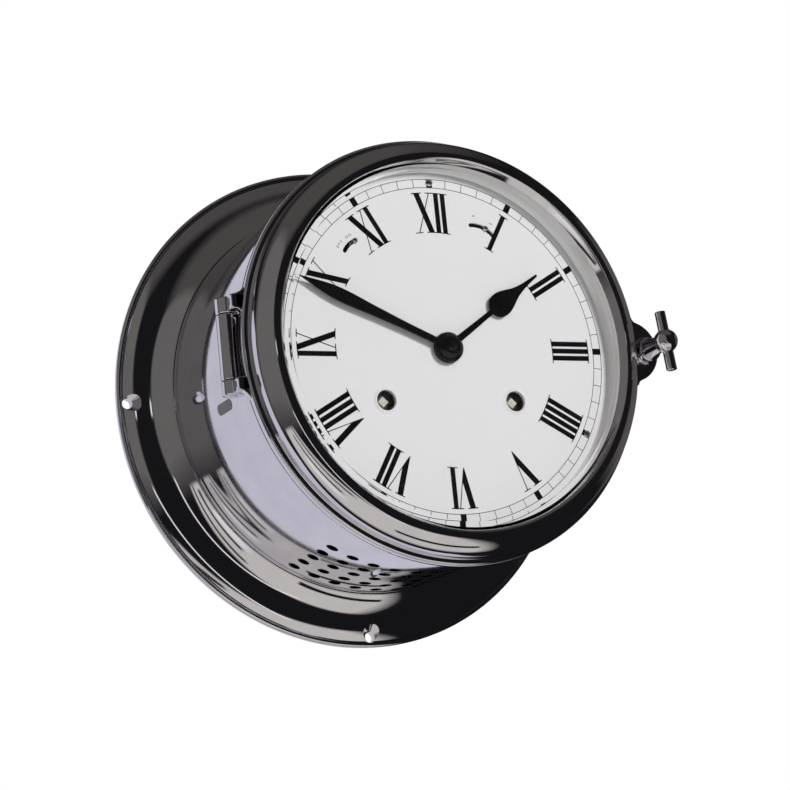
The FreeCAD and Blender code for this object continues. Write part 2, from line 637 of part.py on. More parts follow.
def spiral_points(inner, outer, coils, thick):
    """The closed outline of a thin flat spiral."""
    steps = 24 * coils
    sides = []
    for offset in (0.0, thick):
        sides.append([])
        for step in range(steps + 1):
            radius = inner + (outer - inner) * step / steps + offset
            turn = 2 * math.pi * coils * step / steps
            sides[-1].append(Vec(radius * math.cos(turn), radius * math.sin(turn), 0))
    return sides[0] + sides[1][::-1]


def mainspring(label, at):
    """A flat spiral spring that fills the outer half of its barrel."""
    coils = slab(spiral_points(9.0, size("barrel_radius") - 2.7, 7, 0.7), 71.2, 11.2)
    return stand(shaped(label + "_shape", coils), label, at.x, at.y)


def key_square(low, high):
    """The square on a winding arbor, standing on its corner."""
    side = size("key_square")
    square = Part.makeBox(side, side, high - low, Vec(-side / 2, -side / 2, low))
    square.rotate(Vec(), UP, 45)
    return square


def winding_arbor(label, at):
    """The square-ended arbor that the key turns, with its plain rear pivot."""
    body = rod(3.0, size("back_plate_front") + 0.4, 92.0)
    square = key_square(92.0, 95.9)
    hook = Part.makeBox(4.6, 1.2, 8.0, Vec(0, -0.6, 72.8))
    solid = body.multiFuse([rod(2.0, back_low, 62), square, hook]).removeSplitter()
    return stand(shaped(label + "_shape", solid), label, at.x, at.y)


CLICK_TEETH = 24


def ratchet(label, at, mirror):
    """A saw-toothed wheel on the winding arbor, its steep flanks facing the click."""
    points = []
    for tooth in range(CLICK_TEETH):
        start = 360.0 / CLICK_TEETH * tooth
        for radius, share in ((8.6, 0.0), (10.0, 0.06), (9.9, 0.22)):
            turn = mirror * math.radians(start + share * 360.0 / CLICK_TEETH)
            points.append(Vec(radius * math.cos(turn), radius * math.sin(turn), 0))
    solid = slab(points, 92.2, 1.8).cut(key_square(91.5, 95.5))
    return stand(shaped(label + "_shape", solid), label, at.x, at.y)


def click(label, at, wheel_at):
    """A pawl on its own stud, reaching to just clear of the ratchet's teeth."""
    way = bearing_between(at, wheel_at)
    reach = at.distanceToPoint(wheel_at) - 10.0 - 0.35
    nose = Part.makeBox(reach + 0.1, 2.0, 1.8, Vec(0, -1.0, 92.2))
    nose.rotate(Vec(), UP, way)
    solid = rod(2.6, 92.2, 94.0).multiFuse([nose, rod(1.2, plate_low, 92.4)]).removeSplitter()
    return stand(shaped(label + "_shape", solid), label, at.x, at.y)


barrel("time_barrel", TIME, 66.6, great_bearing)
mainspring("time_mainspring", TIME)
winding_arbor("time_winding_arbor", TIME)
ratchet("time_ratchet", TIME, 1)
click("time_click", click_spots["time"], TIME)

centre_wheel = crossed(
    toothed(CENTRE_TEETH, centre_module, 63.5, 1.5, bearing_between(CENTRE, THIRD)),
    25.0, 6.0, 63.5, 1.5)
train_piece("centre_wheel", CENTRE, [
    centre_wheel,
    toothed(LEAVES, great_module, 66.0, 3.2, gap_at(LEAVES, great_bearing + 180)),
    rod(size("arbor_radius") + 0.2, size("back_plate_front") + 0.3, 103.4),
    rod(size("pivot_radius"), back_low, 63)])

third_wheel = crossed(
    toothed(THIRD_TEETH, third_module, 71.8, 1.2, bearing_between(THIRD, FOURTH)),
    19.0, 4.5, 71.8, 1.2)
train_piece("third_wheel", THIRD, [
    third_wheel,
    toothed(PINION, centre_module, 63.0, 2.6, gap_at(PINION, bearing_between(THIRD, CENTRE))),
    arbor(back_end, front_end)])

fourth_wheel = crossed(
    toothed(FOURTH_TEETH, fourth_module, 77.5, 1.0, bearing_between(FOURTH, ESCAPE)),
    13.2, 4.0, 77.5, 1.0)
train_piece("fourth_wheel", FOURTH, [
    fourth_wheel,
    toothed(PINION, third_module, 71.0, 2.8, gap_at(PINION, bearing_between(FOURTH, THIRD))),
    arbor(back_end, front_end)])

escape_points = []
for tooth in range(15):
    start = 24.0 * tooth
    for radius, share in ((6.0, 0), (8.0, 5), (8.0, 8), (6.0, 9)):
        turn = math.radians(start + share)
        escape_points.append(Vec(radius * math.cos(turn), radius * math.sin(turn), 0))
escape_disc = crossed(slab(escape_points, 80.8, 1.2), 4.9, 2.2, 80.8, 1.2, 4, 1.2)
train_piece("escape_wheel", ESCAPE, [
    escape_disc,
    toothed(ESCAPE_LEAVES, fourth_module, 77.0, 2.4,
            gap_at(ESCAPE_LEAVES, bearing_between(ESCAPE, FOURTH))),
    rod(1.0, size("back_plate_front") + 0.3, plate_low - 0.3),
    rod(size("pivot_radius"), back_end, front_end)])

lever_way = bearing_between(PALLET, BALANCE)
pallet_arm = Part.makeBox(9.6, 1.4, 1.2, Vec(0, -0.7, 80.8))
fork = Part.makeBox(1.4, 4.0, 1.2, Vec(9.0, -2.0, 80.8))
pallets = []
for side in (1, -1):
    wing = Part.makeBox(1.2, 6.4, 1.2, Vec(-0.6, 0 if side > 0 else -6.4, 80.8))
    tip = Part.makeBox(1.8, 1.2, 1.2, Vec(-1.8, side * 5.8 - 0.6, 80.8))
    pallets += [wing, tip]
pallet_shape = pallet_arm.multiFuse([fork] + pallets)
pallet_shape.rotate(Vec(), UP, lever_way)
train_piece("pallet_lever", PALLET, [pallet_shape, rod(1.0, 61.3, plate_low - 0.3),
                                     rod(size("pivot_radius"), back_end, front_end)])

balance_rim = tube(10.5, 8.9, 74.6, 76.8)
balance_arm = Part.makeBox(18.4, 2.2, 1.2, Vec(-9.2, -1.1, 74.9))
train_piece("balance_wheel", BALANCE, [
    balance_rim, balance_arm, rod(1.0, 61.3, plate_low - 0.3), rod(2.4, 80.8, 81.8),
    rod(size("pivot_radius"), back_end, front_end)])


hair_coils = slab(spiral_points(1.6, 6.4, 8, 0.2), 72.2, 0.8)
hair_stud = rod(0.9, size("back_plate_front"), 73.6, Vec(7.2, 0, 0))
stand(shaped("hairspring_shape", hair_coils.fuse(hair_stud)), "hairspring", BALANCE.x, BALANCE.y)

# strike train
barrel("strike_barrel", STRIKE, 85.0, bearing_between(STRIKE, PIN_WHEEL))
mainspring("strike_mainspring", STRIKE)
winding_arbor("strike_winding_arbor", STRIKE)
ratchet("strike_ratchet", STRIKE, -1)
click("strike_click", click_spots["strike"], STRIKE)

PIN_TEETH, LOCKING_TEETH, FLY_LEAVES = 60, 50, 8
pin_disc = crossed(
    toothed(PIN_TEETH, 0.6, 66.5, 1.5, bearing_between(PIN_WHEEL, LOCKING)), 12.0, 4.5, 66.5, 1.5)
lifting_pins = [rod(0.8, 65.3, 67.0, toward(Vec(), 14.6, 45 * number)) for number in range(8)]
train_piece("pin_wheel", PIN_WHEEL, [
    pin_disc,
    toothed(LEAVES, great_module, 84.6, 2.6,
            gap_at(LEAVES, bearing_between(PIN_WHEEL, STRIKE))),
    arbor(back_end, front_end)] + lifting_pins)

locking_disc = crossed(
    toothed(LOCKING_TEETH, 0.5, 77.5, 1.0, bearing_between(LOCKING, FLY)), 9.8, 4.0, 77.5, 1.0)
train_piece("locking_wheel", LOCKING, [
    locking_disc,
    toothed(PINION, 0.6, 66.0, 2.6, gap_at(PINION, bearing_between(LOCKING, PIN_WHEEL))),
    arbor(back_end, front_end)])

fly_vane = Part.makeBox(12.0, 0.6, 9.0, Vec(-6.0, -0.3, 64.0))
train_piece("strike_fly", FLY, [
    fly_vane,
    toothed(FLY_LEAVES, 0.5, 77.0, 2.2, gap_at(FLY_LEAVES, bearing_between(FLY, LOCKING))),
    rod(1.0, size("back_plate_front") + 0.3, plate_low - 0.3),
    rod(size("pivot_radius"), back_end, front_end)])

# hammer: an arbor through both plates, a lifting tail inside and the head behind
head_at = toward(Vec(), size("bell_radius") + 6.4, 200)
head_way = head_at - HAMMER
hammer_arm = Part.makeBox(head_way.Length, 2.6, 1.8, Vec(0, -1.3, 53.6))
hammer_arm.rotate(Vec(), UP, bearing_between(HAMMER, head_at))
tail = Part.makeBox(6.6, 1.6, 1.2, Vec(0, -0.8, 65.2))
tail.rotate(Vec(), UP, bearing_between(HAMMER, PIN_WHEEL))
train_piece("hammer", HAMMER, [
    rod(1.6, 53.0, plate_low - 0.3), hammer_arm, tail,
    rod(size("pivot_radius"), 80, front_end), rod(5.0, 46.0, 55.4, head_way)])

# bell on its post
stand(turned_body("bell_turning", [
    (2.2, "bell_crown"), (24.0, "bell_crown", (38.0, 24.6)), ("bell_radius-2", 38.0),
    ("bell_radius", "bell_mouth+4"), ("bell_radius-2", "bell_mouth+4"),
    ("bell_radius-4", 38.6, (36.6, 26.4)), (24.0, "bell_crown+2"), (2.2, "bell_crown+2")]),
    "bell")
stand(turned_body("post", [
    (0.0, 0.6), (2.1, 0.6), (2.1, 2.2), (5.0, 2.2), (5.0, "bell_crown"),
    (2.2, "bell_crown"), (2.2, "bell_crown+7"), (0.0, "bell_crown+7")]), "bell_post")
nut_points = [toward(Vec(), 4.6, 60 * corner) for corner in range(6)]
stand(shaped("bell_nut_shape", slab(nut_points, size("bell_crown") + 2, 3.2).cut(
    rod(2.2, 20, 30))), "bell_nut")

spring_bits = []
for side, (key, spot) in zip((1, -1), click_spots.items()):
    way = bearing_between(spot, barrel_spots[key]) + side * 62
    strip = Part.makeBox(14.0, 0.6, 1.6, Vec(3.4, -0.3, 92.2))
    foot = rod(2.0, size("plate_front"), 94.0, Vec(17.4, 0, 0))
    bit = strip.fuse(foot).removeSplitter()
    bit.rotate(Vec(), UP, way)
    bit.translate(spot)
    spring_bits.append(bit)
stand(shaped("click_spring_group", Part.makeCompound(spring_bits)), "click_springs")

# ---------------------------------------------------------------- motion work and hands

MOTION_MODULE = 0.8
CANNON, MINUTE_TEETH, MINUTE_LEAVES, HOUR_TEETH = 12, 36, 10, 40
hour_module = 2 * MOTION.y / (HOUR_TEETH + MINUTE_LEAVES)
cannon_bore = size("arbor_radius") + 0.2 + play
cannon = toothed(CANNON, MOTION_MODULE, 92.2, 1.4, 90.0).fuse(rod(3.0, 92.0, 102.8))
stand(shaped("cannon_shape", cannon.cut(rod(cannon_bore, 80, 110)).removeSplitter()),
      "cannon_pinion")
minute_disc = toothed(MINUTE_TEETH, MOTION_MODULE, 92.2, 1.2, gap_at(MINUTE_TEETH, -90.0))
minute_piece = [minute_disc,
                toothed(MINUTE_LEAVES, hour_module, 93.2, 2.2, gap_at(MINUTE_LEAVES, -90.0)),
                rod(1.0, plate_low, 93.0)]
train_piece("minute_wheel", MOTION, minute_piece)
hour_pipe = toothed(HOUR_TEETH, hour_module, 94.0, 1.2, 90.0).fuse(rod(4.2, 94.0, 101.2))
stand(shaped("hour_shape", hour_pipe.cut(rod(3.0 + 0.08, 80, 110)).removeSplitter()),
      "hour_wheel")


def hand(label, low, thick, bore, boss, right_side, bearing):
    """A hand pointing at twelve, given its right-hand outline, then turned to its bearing."""
    left_side = [Vec(-point.x, point.y, 0) for point in right_side[::-1] if point.x > 0]
    blade = slab(right_side + left_side, low, thick)
    solid = blade.fuse(rod(boss, low, low + thick)).cut(rod(bore, 90, 120)).removeSplitter()
    return stand(shaped(label + "_shape", solid), label, spin=bearing)


hand("hour_hand", 100.4, 0.8, 4.2, 6.4, [
    Vec(1.5, 0, 0), Vec(1.25, 16, 0), Vec(1.1, 26, 0), Vec(1.7, 27, 0), Vec(3.0, 27.7, 0),
    Vec(4.5, 29.4, 0), Vec(5.05, 32, 0), Vec(4.85, 34.5, 0), Vec(3.75, 37.8, 0),
    Vec(2.3, 41.3, 0), Vec(1.35, 45.5, 0), Vec(0.85, 50, 0), Vec(0.5, 54.3, 0),
    Vec(0, 54.8, 0)], 54.5)
hand("minute_hand", 101.8, 0.8, 3.0, 6.2, [
    Vec(1.5, 0, 0), Vec(1.6, 20, 0), Vec(2.8, 48, 0), Vec(2.4, 56, 0), Vec(0, 69.9, 0)], 294.0)
stand(turned_body("hand_nut_turning", [
    ("arbor_radius+0.25", 102.8), (5.4, 102.8), (5.4, 103.3, (3.9, 104.4)),
    (1.9, 104.8), (0.0, 105.2), (0.0, 103.6), ("arbor_radius+0.25", 103.6)]), "hand_nut")

for name, (pivot, reach, first, last, pin) in LEVERS.items():
    arm_slab = Part.makeBox(3.2, reach, 1.2, Vec(-1.6, 0, 95.6))
    end_round = rod(1.6, 95.6, 96.8, Vec(0, reach, 0))
    pin_rod = rod(0.8, 95.6, 100.2, Vec(0, reach, 0))
    hub = rod(2.8, 95.6, 96.8).fuse(rod(1.5, plate_low, 96.0))
    whole = arm_slab.multiFuse([end_round, pin_rod, hub]).removeSplitter()
    stand(shaped(name + "_shape", whole), name, pivot.x, pivot.y, pin)

# ---------------------------------------------------------------- check and write

doc.recompute()
for item in doc.Objects:
    state = " ".join(item.State)
    if "Invalid" in state or "Error" in state:
        raise RuntimeError(f"{item.Label} did not compute: {state}")
os.makedirs("parts", exist_ok=True)
for item in finished:
    shape = item.Shape
    if shape.isNull() or not shape.isValid() or not shape.Solids:
        raise RuntimeError(f"{item.Label} has no valid solid")
    shape.exportStep(f"parts/{item.Label}.step")
    print(f"{item.Label:24s} {len(shape.Solids):3d} solids {shape.Volume:12.1f} mm3")
print(len(finished), "sub-parts")
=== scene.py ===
"""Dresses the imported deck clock: polished case, hinged glass bezel, printed dial, hands and the
finishes of the movement. Sizes are millimetres in the outlines and metres on the objects.

The frame has +Z up and the dial looking along -Y, so a height F above the wall is y = -F.
"""
import json
import math

import bpy
from mathutils import Matrix, Vector


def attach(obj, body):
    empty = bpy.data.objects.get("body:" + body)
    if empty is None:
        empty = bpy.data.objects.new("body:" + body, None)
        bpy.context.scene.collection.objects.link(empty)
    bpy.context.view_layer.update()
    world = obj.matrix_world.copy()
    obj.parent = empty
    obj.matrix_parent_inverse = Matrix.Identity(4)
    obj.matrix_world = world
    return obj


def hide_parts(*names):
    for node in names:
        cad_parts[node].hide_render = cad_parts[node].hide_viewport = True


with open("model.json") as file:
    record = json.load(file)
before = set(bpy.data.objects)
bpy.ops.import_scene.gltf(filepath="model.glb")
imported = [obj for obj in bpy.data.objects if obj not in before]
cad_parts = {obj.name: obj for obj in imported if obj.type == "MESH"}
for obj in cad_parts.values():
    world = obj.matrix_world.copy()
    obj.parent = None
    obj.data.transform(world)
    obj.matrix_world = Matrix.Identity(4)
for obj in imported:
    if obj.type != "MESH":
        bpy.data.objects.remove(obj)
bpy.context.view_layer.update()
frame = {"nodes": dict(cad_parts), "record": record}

bl_info = {
    "name": "Bulkhead deck clock",
    "version": (1, 0, 0),
    "blender": (4, 5, 0),
    "location": "View3D > Sidebar > Deck clock",
    "description": "Builds the case, bezel, dial, hands and finishes of a ship's deck clock",
    "category": "Mesh",
}

MM = 0.001
FULL_TURN = 2 * math.pi
AHEAD = Vector((0, -1, 0))
HOUR_COUNT = 12
MINUTE_COUNT = 60

# ends of the hinge and of the case's knuckle along the pin, and the gap between knuckles
HINGE_LOW, HINGE_TOP = -17.8, 22.0
KNUCKLE_LOW, KNUCKLE_TOP, KNUCKLE_GAP = -11.6, 15.2, 0.15
# degrees that the lock's bar leans from upright, and its radius
BAR_LEAN, BAR_RADIUS = 5.8, 2.25
# the lug behind the lock ear
LUG_RADIUS = 5.8


# ---------------------------------------------------------------- sizes and colours

def length(label, text, millimetres):
    """A length that a user may change, given in millimetres."""
    return bpy.props.FloatProperty(name=label, description=text, default=millimetres * MM,
                                   min=0.0, unit="LENGTH", subtype="DISTANCE", precision=5)


def bearing(label, text, degrees):
    """A bearing clockwise from twelve that a user may change."""
    return bpy.props.FloatProperty(name=label, description=text, unit="ROTATION",
                                   subtype="ANGLE", default=math.radians(degrees))


def colour(label, text, hex_code):
    """A finish colour that a user may change, given as an sRGB hex value."""
    return bpy.props.FloatVectorProperty(name=label, description=text, size=4, min=0.0, max=1.0,
                                         subtype="COLOR", default=linear(hex_code))


def linear(hex_code):
    """The linear colour of an sRGB hex value such as 'D5D5D6'."""
    channels = [int(hex_code[place:place + 2], 16) / 255 for place in (0, 2, 4)]
    straight = [c / 12.92 if c <= 0.04045 else ((c + 0.055) / 1.055) ** 2.4 for c in channels]
    return (*straight, 1.0)


class DeckClockCase(bpy.types.PropertyGroup):
    """Sizes of the case."""
    flange: length("Flange radius", "Outer radius of the base flange", 106.2)
    drum: length("Drum radius", "Outer radius of the drum", 85.0)
    wall: length("Drum wall", "Thickness of the drum's wall", 1.8)
    drum_front: length("Drum front", "Height of the drum's front edge above the wall", 94.4)
    bolt_circle: length("Bolt circle", "Radius of the circle of mounting holes", 102.0)
    bolt: length("Bolt hole", "Radius of a mounting hole", 2.25)
    sound_hole: length("Sound hole", "Radius of a sound hole in the drum", 2.6)


class DeckClockBezel(bpy.types.PropertyGroup):
    """Sizes of the bezel, its hinge and its lock."""
    rim: length("Bezel radius", "Outer radius of the bezel", 89.0)
    back: length("Bezel back", "Height of the bezel's back edge above the wall", 95.3)
    hinge_offset: length("Hinge offset", "Distance of the hinge pin left of the centre", 89.85)
    hinge_height: length("Hinge height", "Height of the hinge pin above the wall", 88.5)
    knuckle: length("Knuckle", "Radius of a hinge knuckle", 4.5)
    lock_offset: length("Lock offset", "Distance of the lock screw right of the centre", 92.6)
    ball: length("Lock ball", "Radius of the ball on the lock screw", 5.0)
    ball_height: length("Ball height", "Height of the lock's ball above the wall", 119.2)
    bar: length("Tommy bar", "Length of the bar through the ball", 25.2)


class DeckClockDial(bpy.types.PropertyGroup):
    """Sizes of the dial and its hands."""
    front: length("Dial front", "Height of the dial's face above the wall", 99.0)
    radius: length("Dial radius", "Radius of the dial plate", 74.7)
    track_inner: length("Inner track", "Radius of the inner circle of the minute track", 68.4)
    track_outer: length("Outer track", "Radius of the outer circle of the minute track", 72.0)
    numeral_foot: length("Numeral foot", "Radius at the foot of the hour numerals", 49.3)
    numeral_head: length("Numeral head", "Radius at the head of the hour numerals", 66.1)
    hour_bearing: bearing("Hour hand", "Bearing of the hour hand", 54.5)
    minute_bearing: bearing("Minute hand", "Bearing of the minute hand", 294.0)


class DeckClockFinish(bpy.types.PropertyGroup):
    """Colours of the finishes."""
    chrome: colour("Chrome", "Polished chrome plate", "E3E2E6")
    dial: colour("Dial", "Silver-white dial lacquer", "E0E0E2")
    ink: colour("Ink", "Printed black of the dial", "0B0A0C")
    hands: colour("Hands", "Black lacquer of the hands", "0A0A0B")
    brass: colour("Brass", "Movement brass", "D9B365")


# ---------------------------------------------------------------- modelling helpers

def only(piece):
    """Leaves this piece alone selected and active."""
    bpy.ops.object.select_all(action="DESELECT")
    piece.select_set(True)
    bpy.context.view_layer.objects.active = piece
    return piece


def named(name):
    """Names the object that an operator has just added."""
    piece = bpy.context.object
    piece.name = name
    piece.data.name = name
    return piece


def settled(piece, smooth=30):
    """Puts a piece's place into its mesh, closes it, turns it outwards and smooths it."""
    only(piece)
    bpy.ops.object.transform_apply(location=True, rotation=True, scale=True)
    bpy.ops.object.mode_set(mode="EDIT")
    bpy.ops.mesh.select_all(action="SELECT")
    bpy.ops.mesh.remove_doubles(threshold=0.002 * MM)
    bpy.ops.mesh.normals_make_consistent(inside=False)
    bpy.ops.object.mode_set(mode="OBJECT")
    bpy.ops.object.shade_smooth_by_angle(angle=math.radians(smooth))
    return piece


def finished_with(piece, kind, **settings):
    """Adds a modifier to a piece and applies it."""
    only(piece)
    modifier = piece.modifiers.new(kind.title(), kind)
    for key, value in settings.items():
        setattr(modifier, key, value)
    bpy.ops.object.modifier_apply(modifier=modifier.name)
    return piece


def rounded(piece, width, segments=3, angle=30):
    """Rounds a piece's edges by a width in millimetres."""
    return finished_with(piece, "BEVEL", width=width * MM, segments=segments,
                         limit_method="ANGLE", angle_limit=math.radians(angle),
                         use_clamp_overlap=True)


def carved(piece, *tools):
    """Cuts the tools out of a piece and removes them."""
    for tool in tools:
        finished_with(piece, "BOOLEAN", operation="DIFFERENCE", solver="EXACT", object=tool)
        bpy.data.objects.remove(tool)
    return piece


def joined(name, pieces):
    """One object of several pieces."""
    bpy.ops.object.select_all(action="DESELECT")
    for piece in pieces:
        piece.select_set(True)
    bpy.context.view_layer.objects.active = pieces[0]
    bpy.ops.object.join()
    return named(name)


def copied(piece, turn=None, move=None):
    """A copy of a piece with its own mesh, turned about the clock's axis or moved in mm."""
    only(piece)
    bpy.ops.object.duplicate(linked=False)
    twin = bpy.context.object
    if turn is not None:
        twin.data.transform(Matrix.Rotation(math.radians(turn), 4, "Y"))
    if move is not None:
        twin.data.transform(Matrix.Translation(Vector(move) * MM))
    return twin


def chain(name, points):
    """Draws an edge chain through points in millimetres, and stays in edit mode."""
    bpy.ops.object.select_all(action="DESELECT")
    bpy.ops.mesh.primitive_plane_add(size=MM)
    piece = named(name)
    places = [Vector(point) * MM for point in points]
    bpy.ops.object.mode_set(mode="EDIT")
    bpy.ops.mesh.merge(type="CENTER")
    bpy.ops.transform.translate(value=places[0])
    for before, after in zip(places, places[1:]):
        bpy.ops.mesh.extrude_vertices_move(TRANSFORM_OT_translate={"value": after - before})
    return piece


def turned(name, outline, steps=256, centre=(0.0, 0.0), closed=True, smooth=30):
    """Turns an outline of (radius, F) points about an axis along Y through centre (x, z)."""
    x, z = centre
    points = [(x + radius, -height, z) for radius, height in outline]
    if closed:
        points.append(points[0])
    piece = chain(name, points)
    bpy.ops.mesh.select_all(action="SELECT")
    bpy.ops.mesh.spin(steps=steps, angle=FULL_TURN, center=(x * MM, 0, z * MM), axis=(0, 1, 0))
    bpy.ops.object.mode_set(mode="OBJECT")
    return settled(piece, smooth)


def plate(name, outline, low, high):
    """A flat piece with an outline of (x, z) points, from height low to high."""
    piece = chain(name, [(x, -low, z) for x, z in outline])
    bpy.ops.mesh.select_all(action="SELECT")
    bpy.ops.mesh.edge_face_add()
    bpy.ops.mesh.extrude_region_move(
        TRANSFORM_OT_translate={"value": AHEAD * (high - low) * MM})
    bpy.ops.object.mode_set(mode="OBJECT")
    return settled(piece)


def side_plate(name, outline, low, high):
    """A piece with an outline of (x, F) points, drawn up from z low to z high."""
    piece = chain(name, [(x, -height, low) for x, height in outline])
    bpy.ops.mesh.select_all(action="SELECT")
    bpy.ops.mesh.edge_face_add()
    bpy.ops.mesh.extrude_region_move(
        TRANSFORM_OT_translate={"value": Vector((0, 0, (high - low) * MM))})
    bpy.ops.object.mode_set(mode="OBJECT")
    return settled(piece)


def rod(name, radius, start, end, tip=None, vertices=48):
    """A round bar or cone between two points in millimetres."""
    start, end = Vector(start), Vector(end)
    along = end - start
    bpy.ops.object.select_all(action="DESELECT")
    bpy.ops.mesh.primitive_cone_add(
        vertices=vertices, radius1=radius * MM, radius2=(radius if tip is None else tip) * MM,
        depth=along.length * MM, location=(start + end) / 2 * MM,
        rotation=along.to_track_quat("Z", "Y").to_euler())
    return settled(named(name))


def bent(start, via, end, count=8):
    """Points of the arc from start through via to end, without start."""
    (ax, ay), (bx, by), (cx, cy) = start, via, end
    cross = 2 * (ax * (by - cy) + bx * (cy - ay) + cx * (ay - by))
    a2, b2, c2 = ax * ax + ay * ay, bx * bx + by * by, cx * cx + cy * cy
    ux = (a2 * (by - cy) + b2 * (cy - ay) + c2 * (ay - by)) / cross
    uy = (a2 * (cx - bx) + b2 * (ax - cx) + c2 * (bx - ax)) / cross
    first = math.atan2(ay - uy, ax - ux)
    sweep = math.remainder(math.atan2(by - uy, bx - ux) - first, FULL_TURN)
    sweep += math.remainder(math.atan2(cy - uy, cx - ux) - first - sweep, FULL_TURN)
    radius = math.hypot(ax - ux, ay - uy)
    return [(ux + radius * math.cos(first + sweep * step / count),
             uy + radius * math.sin(first + sweep * step / count))
            for step in range(1, count + 1)]


def outline_of(*parts):
    """An outline from points and from (via, end) pairs that stand for arcs."""
    points = []
    for part in parts:
        if isinstance(part[0], tuple):
            points += bent(points[-1], *part)
        else:
            points.append(part)
    return points


def clock_point(radius, degrees):
    """(x, z) at a bearing clockwise from twelve."""
    turn = math.radians(degrees)
    return radius * math.sin(turn), radius * math.cos(turn)


def eased(points, steps=6):
    """A smooth line through (x, z) points."""
    ends = [points[0], *points, points[-1]]
    line = [points[0]]
    for p0, p1, p2, p3 in zip(ends, ends[1:], ends[2:], ends[3:]):
        for step in range(1, steps + 1):
            t = step / steps
            line.append(tuple(
                0.5 * (2 * b + (c - a) * t + (2 * a - 5 * b + 4 * c - d) * t ** 2
                       + (3 * b - a - 3 * c + d) * t ** 3)
                for a, b, c, d in zip(p0, p1, p2, p3)))
    return line


def fitted(piece, body, material, slot, *nodes):
    """Gives a piece its material and says what it rides on and stands for."""
    piece.data.materials.clear()
    piece.data.materials.append(material)
    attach(piece, body)
    if nodes:
        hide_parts(*nodes)


# ---------------------------------------------------------------- materials

def add_node(tree, kind, inputs=(), **settings):
    """Adds a node with its settings; inputs maps sockets to values or to other sockets."""
    node = tree.nodes.new(kind)
    for key, value in settings.items():
        setattr(node, key, value)
    for socket, value in dict(inputs).items():
        if isinstance(value, bpy.types.NodeSocket):
            tree.links.new(value, node.inputs[socket])
        else:
            node.inputs[socket].default_value = value
    return node


def material_tree(name):
    """An empty material, its tree and its place-on-the-object coordinates."""
    material = bpy.data.materials.new(name)
    material.use_nodes = True
    material.node_tree.nodes.clear()
    place = add_node(material.node_tree, "ShaderNodeTexCoord").outputs["Object"]
    return material, material.node_tree, place


def grain(tree, place, size, detail=3.0, rough=0.55):
    """Noise whose features are about size millimetres."""
    return add_node(tree, "ShaderNodeTexNoise", {
        "Vector": place, "Scale": 1 / (size * MM), "Detail": detail, "Roughness": rough,
    }).outputs["Fac"]


def spread(tree, value, low, high, start=0.3, end=0.7):
    """Maps a pattern from its start..end to low..high."""
    return add_node(tree, "ShaderNodeMapRange", {
        "Value": value, "From Min": start, "From Max": end, "To Min": low, "To Max": high,
    }).outputs["Result"]


def mixed(tree, share, first, second):
    """A blend of two colours."""
    node = add_node(tree, "ShaderNodeMix", {0: share}, data_type="RGBA")
    for socket, value in ((6, first), (7, second)):
        if isinstance(value, bpy.types.NodeSocket):
            tree.links.new(value, node.inputs[socket])
        else:
            node.inputs[socket].default_value = value
    return node.outputs[2]


def bumped(tree, height, strength, depth):
    """A bump of a pattern whose full height is depth millimetres."""
    return add_node(tree, "ShaderNodeBump", {
        "Height": height, "Strength": strength, "Distance": depth * MM}).outputs["Normal"]


def surfaced(material, tree, inputs):
    """Ends a material in one principled shader."""
    shader = add_node(tree, "ShaderNodeBsdfPrincipled", inputs)
    add_node(tree, "ShaderNodeOutputMaterial", {"Surface": shader.outputs["BSDF"]})
    return material


def ring_distance(tree, place):
    """Distance from the clock's axis, for marks left by turning and spinning."""
    flat = add_node(tree, "ShaderNodeVectorMath", {0: place, 1: (1, 0, 1)},
                    operation="MULTIPLY").outputs["Vector"]
    return add_node(tree, "ShaderNodeVectorMath", {0: flat},
                    operation="LENGTH").outputs["Value"]


def chrome_plate(finish):
    """Bright chromium plate on buffed brass: a clear mirror, slightly blue, whose buffing
    leaves a faint haze in soft patches and the least waviness."""
    material, tree, place = material_tree("chrome_plate")
    haze = grain(tree, place, 14.0, 4.0)
    wave = grain(tree, place, 9.0, 1.0)
    edge = mixed(tree, spread(tree, haze, 0.0, 1.0), tuple(finish.chrome), linear("D9D8DE"))
    return surfaced(material, tree, {
        "Base Color": edge, "Metallic": 1.0,
        "Roughness": spread(tree, haze, 0.035, 0.075),
        "Normal": bumped(tree, wave, 0.12, 0.02)})


def dial_lacquer(finish):
    """Silver-white lacquer sprayed on a brass dial: matt, with a very fine metallic grain,
    drawn at 0.3 mm so that it can show at all."""
    material, tree, place = material_tree("dial_lacquer")
    fleck = grain(tree, place, 0.3, 2.0)
    shade = mixed(tree, spread(tree, fleck, 0.0, 1.0), tuple(finish.dial), linear("DCDCDE"))
    return surfaced(material, tree, {
        "Base Color": shade, "Roughness": spread(tree, fleck, 0.5, 0.62),
        "Specular IOR Level": 0.35, "Normal": bumped(tree, fleck, 0.2, 0.01)})


def satin_ring():
    """Spun and silvered ring: satin, with turning marks of 0.25 mm round the dial."""
    material, tree, place = material_tree("silvered_ring")
    away = ring_distance(tree, place)
    turns = add_node(tree, "ShaderNodeTexNoise", {
        "W": away, "Scale": 1 / (0.25 * MM), "Detail": 2.0},
        noise_dimensions="1D").outputs["Fac"]
    shade = mixed(tree, spread(tree, turns, 0.0, 1.0), linear("F2F2F1"), linear("E8E8E7"))
    return surfaced(material, tree, {
        "Base Color": shade, "Metallic": 0.3, "Roughness": spread(tree, turns, 0.28, 0.38),
        "Normal": bumped(tree, turns, 0.25, 0.01)})


def ink(name, base):
    """Screen-printed enamel ink: dense black, slightly uneven in its gloss."""
    material, tree, place = material_tree(name)
    lay = grain(tree, place, 0.8, 2.0)
    shade = mixed(tree, spread(tree, lay, 0.0, 1.0), tuple(base), linear("121114"))
    return surfaced(material, tree, {"Base Color": shade, "Specular IOR Level": 0.1,
                                     "Roughness": spread(tree, lay, 0.5, 0.6)})


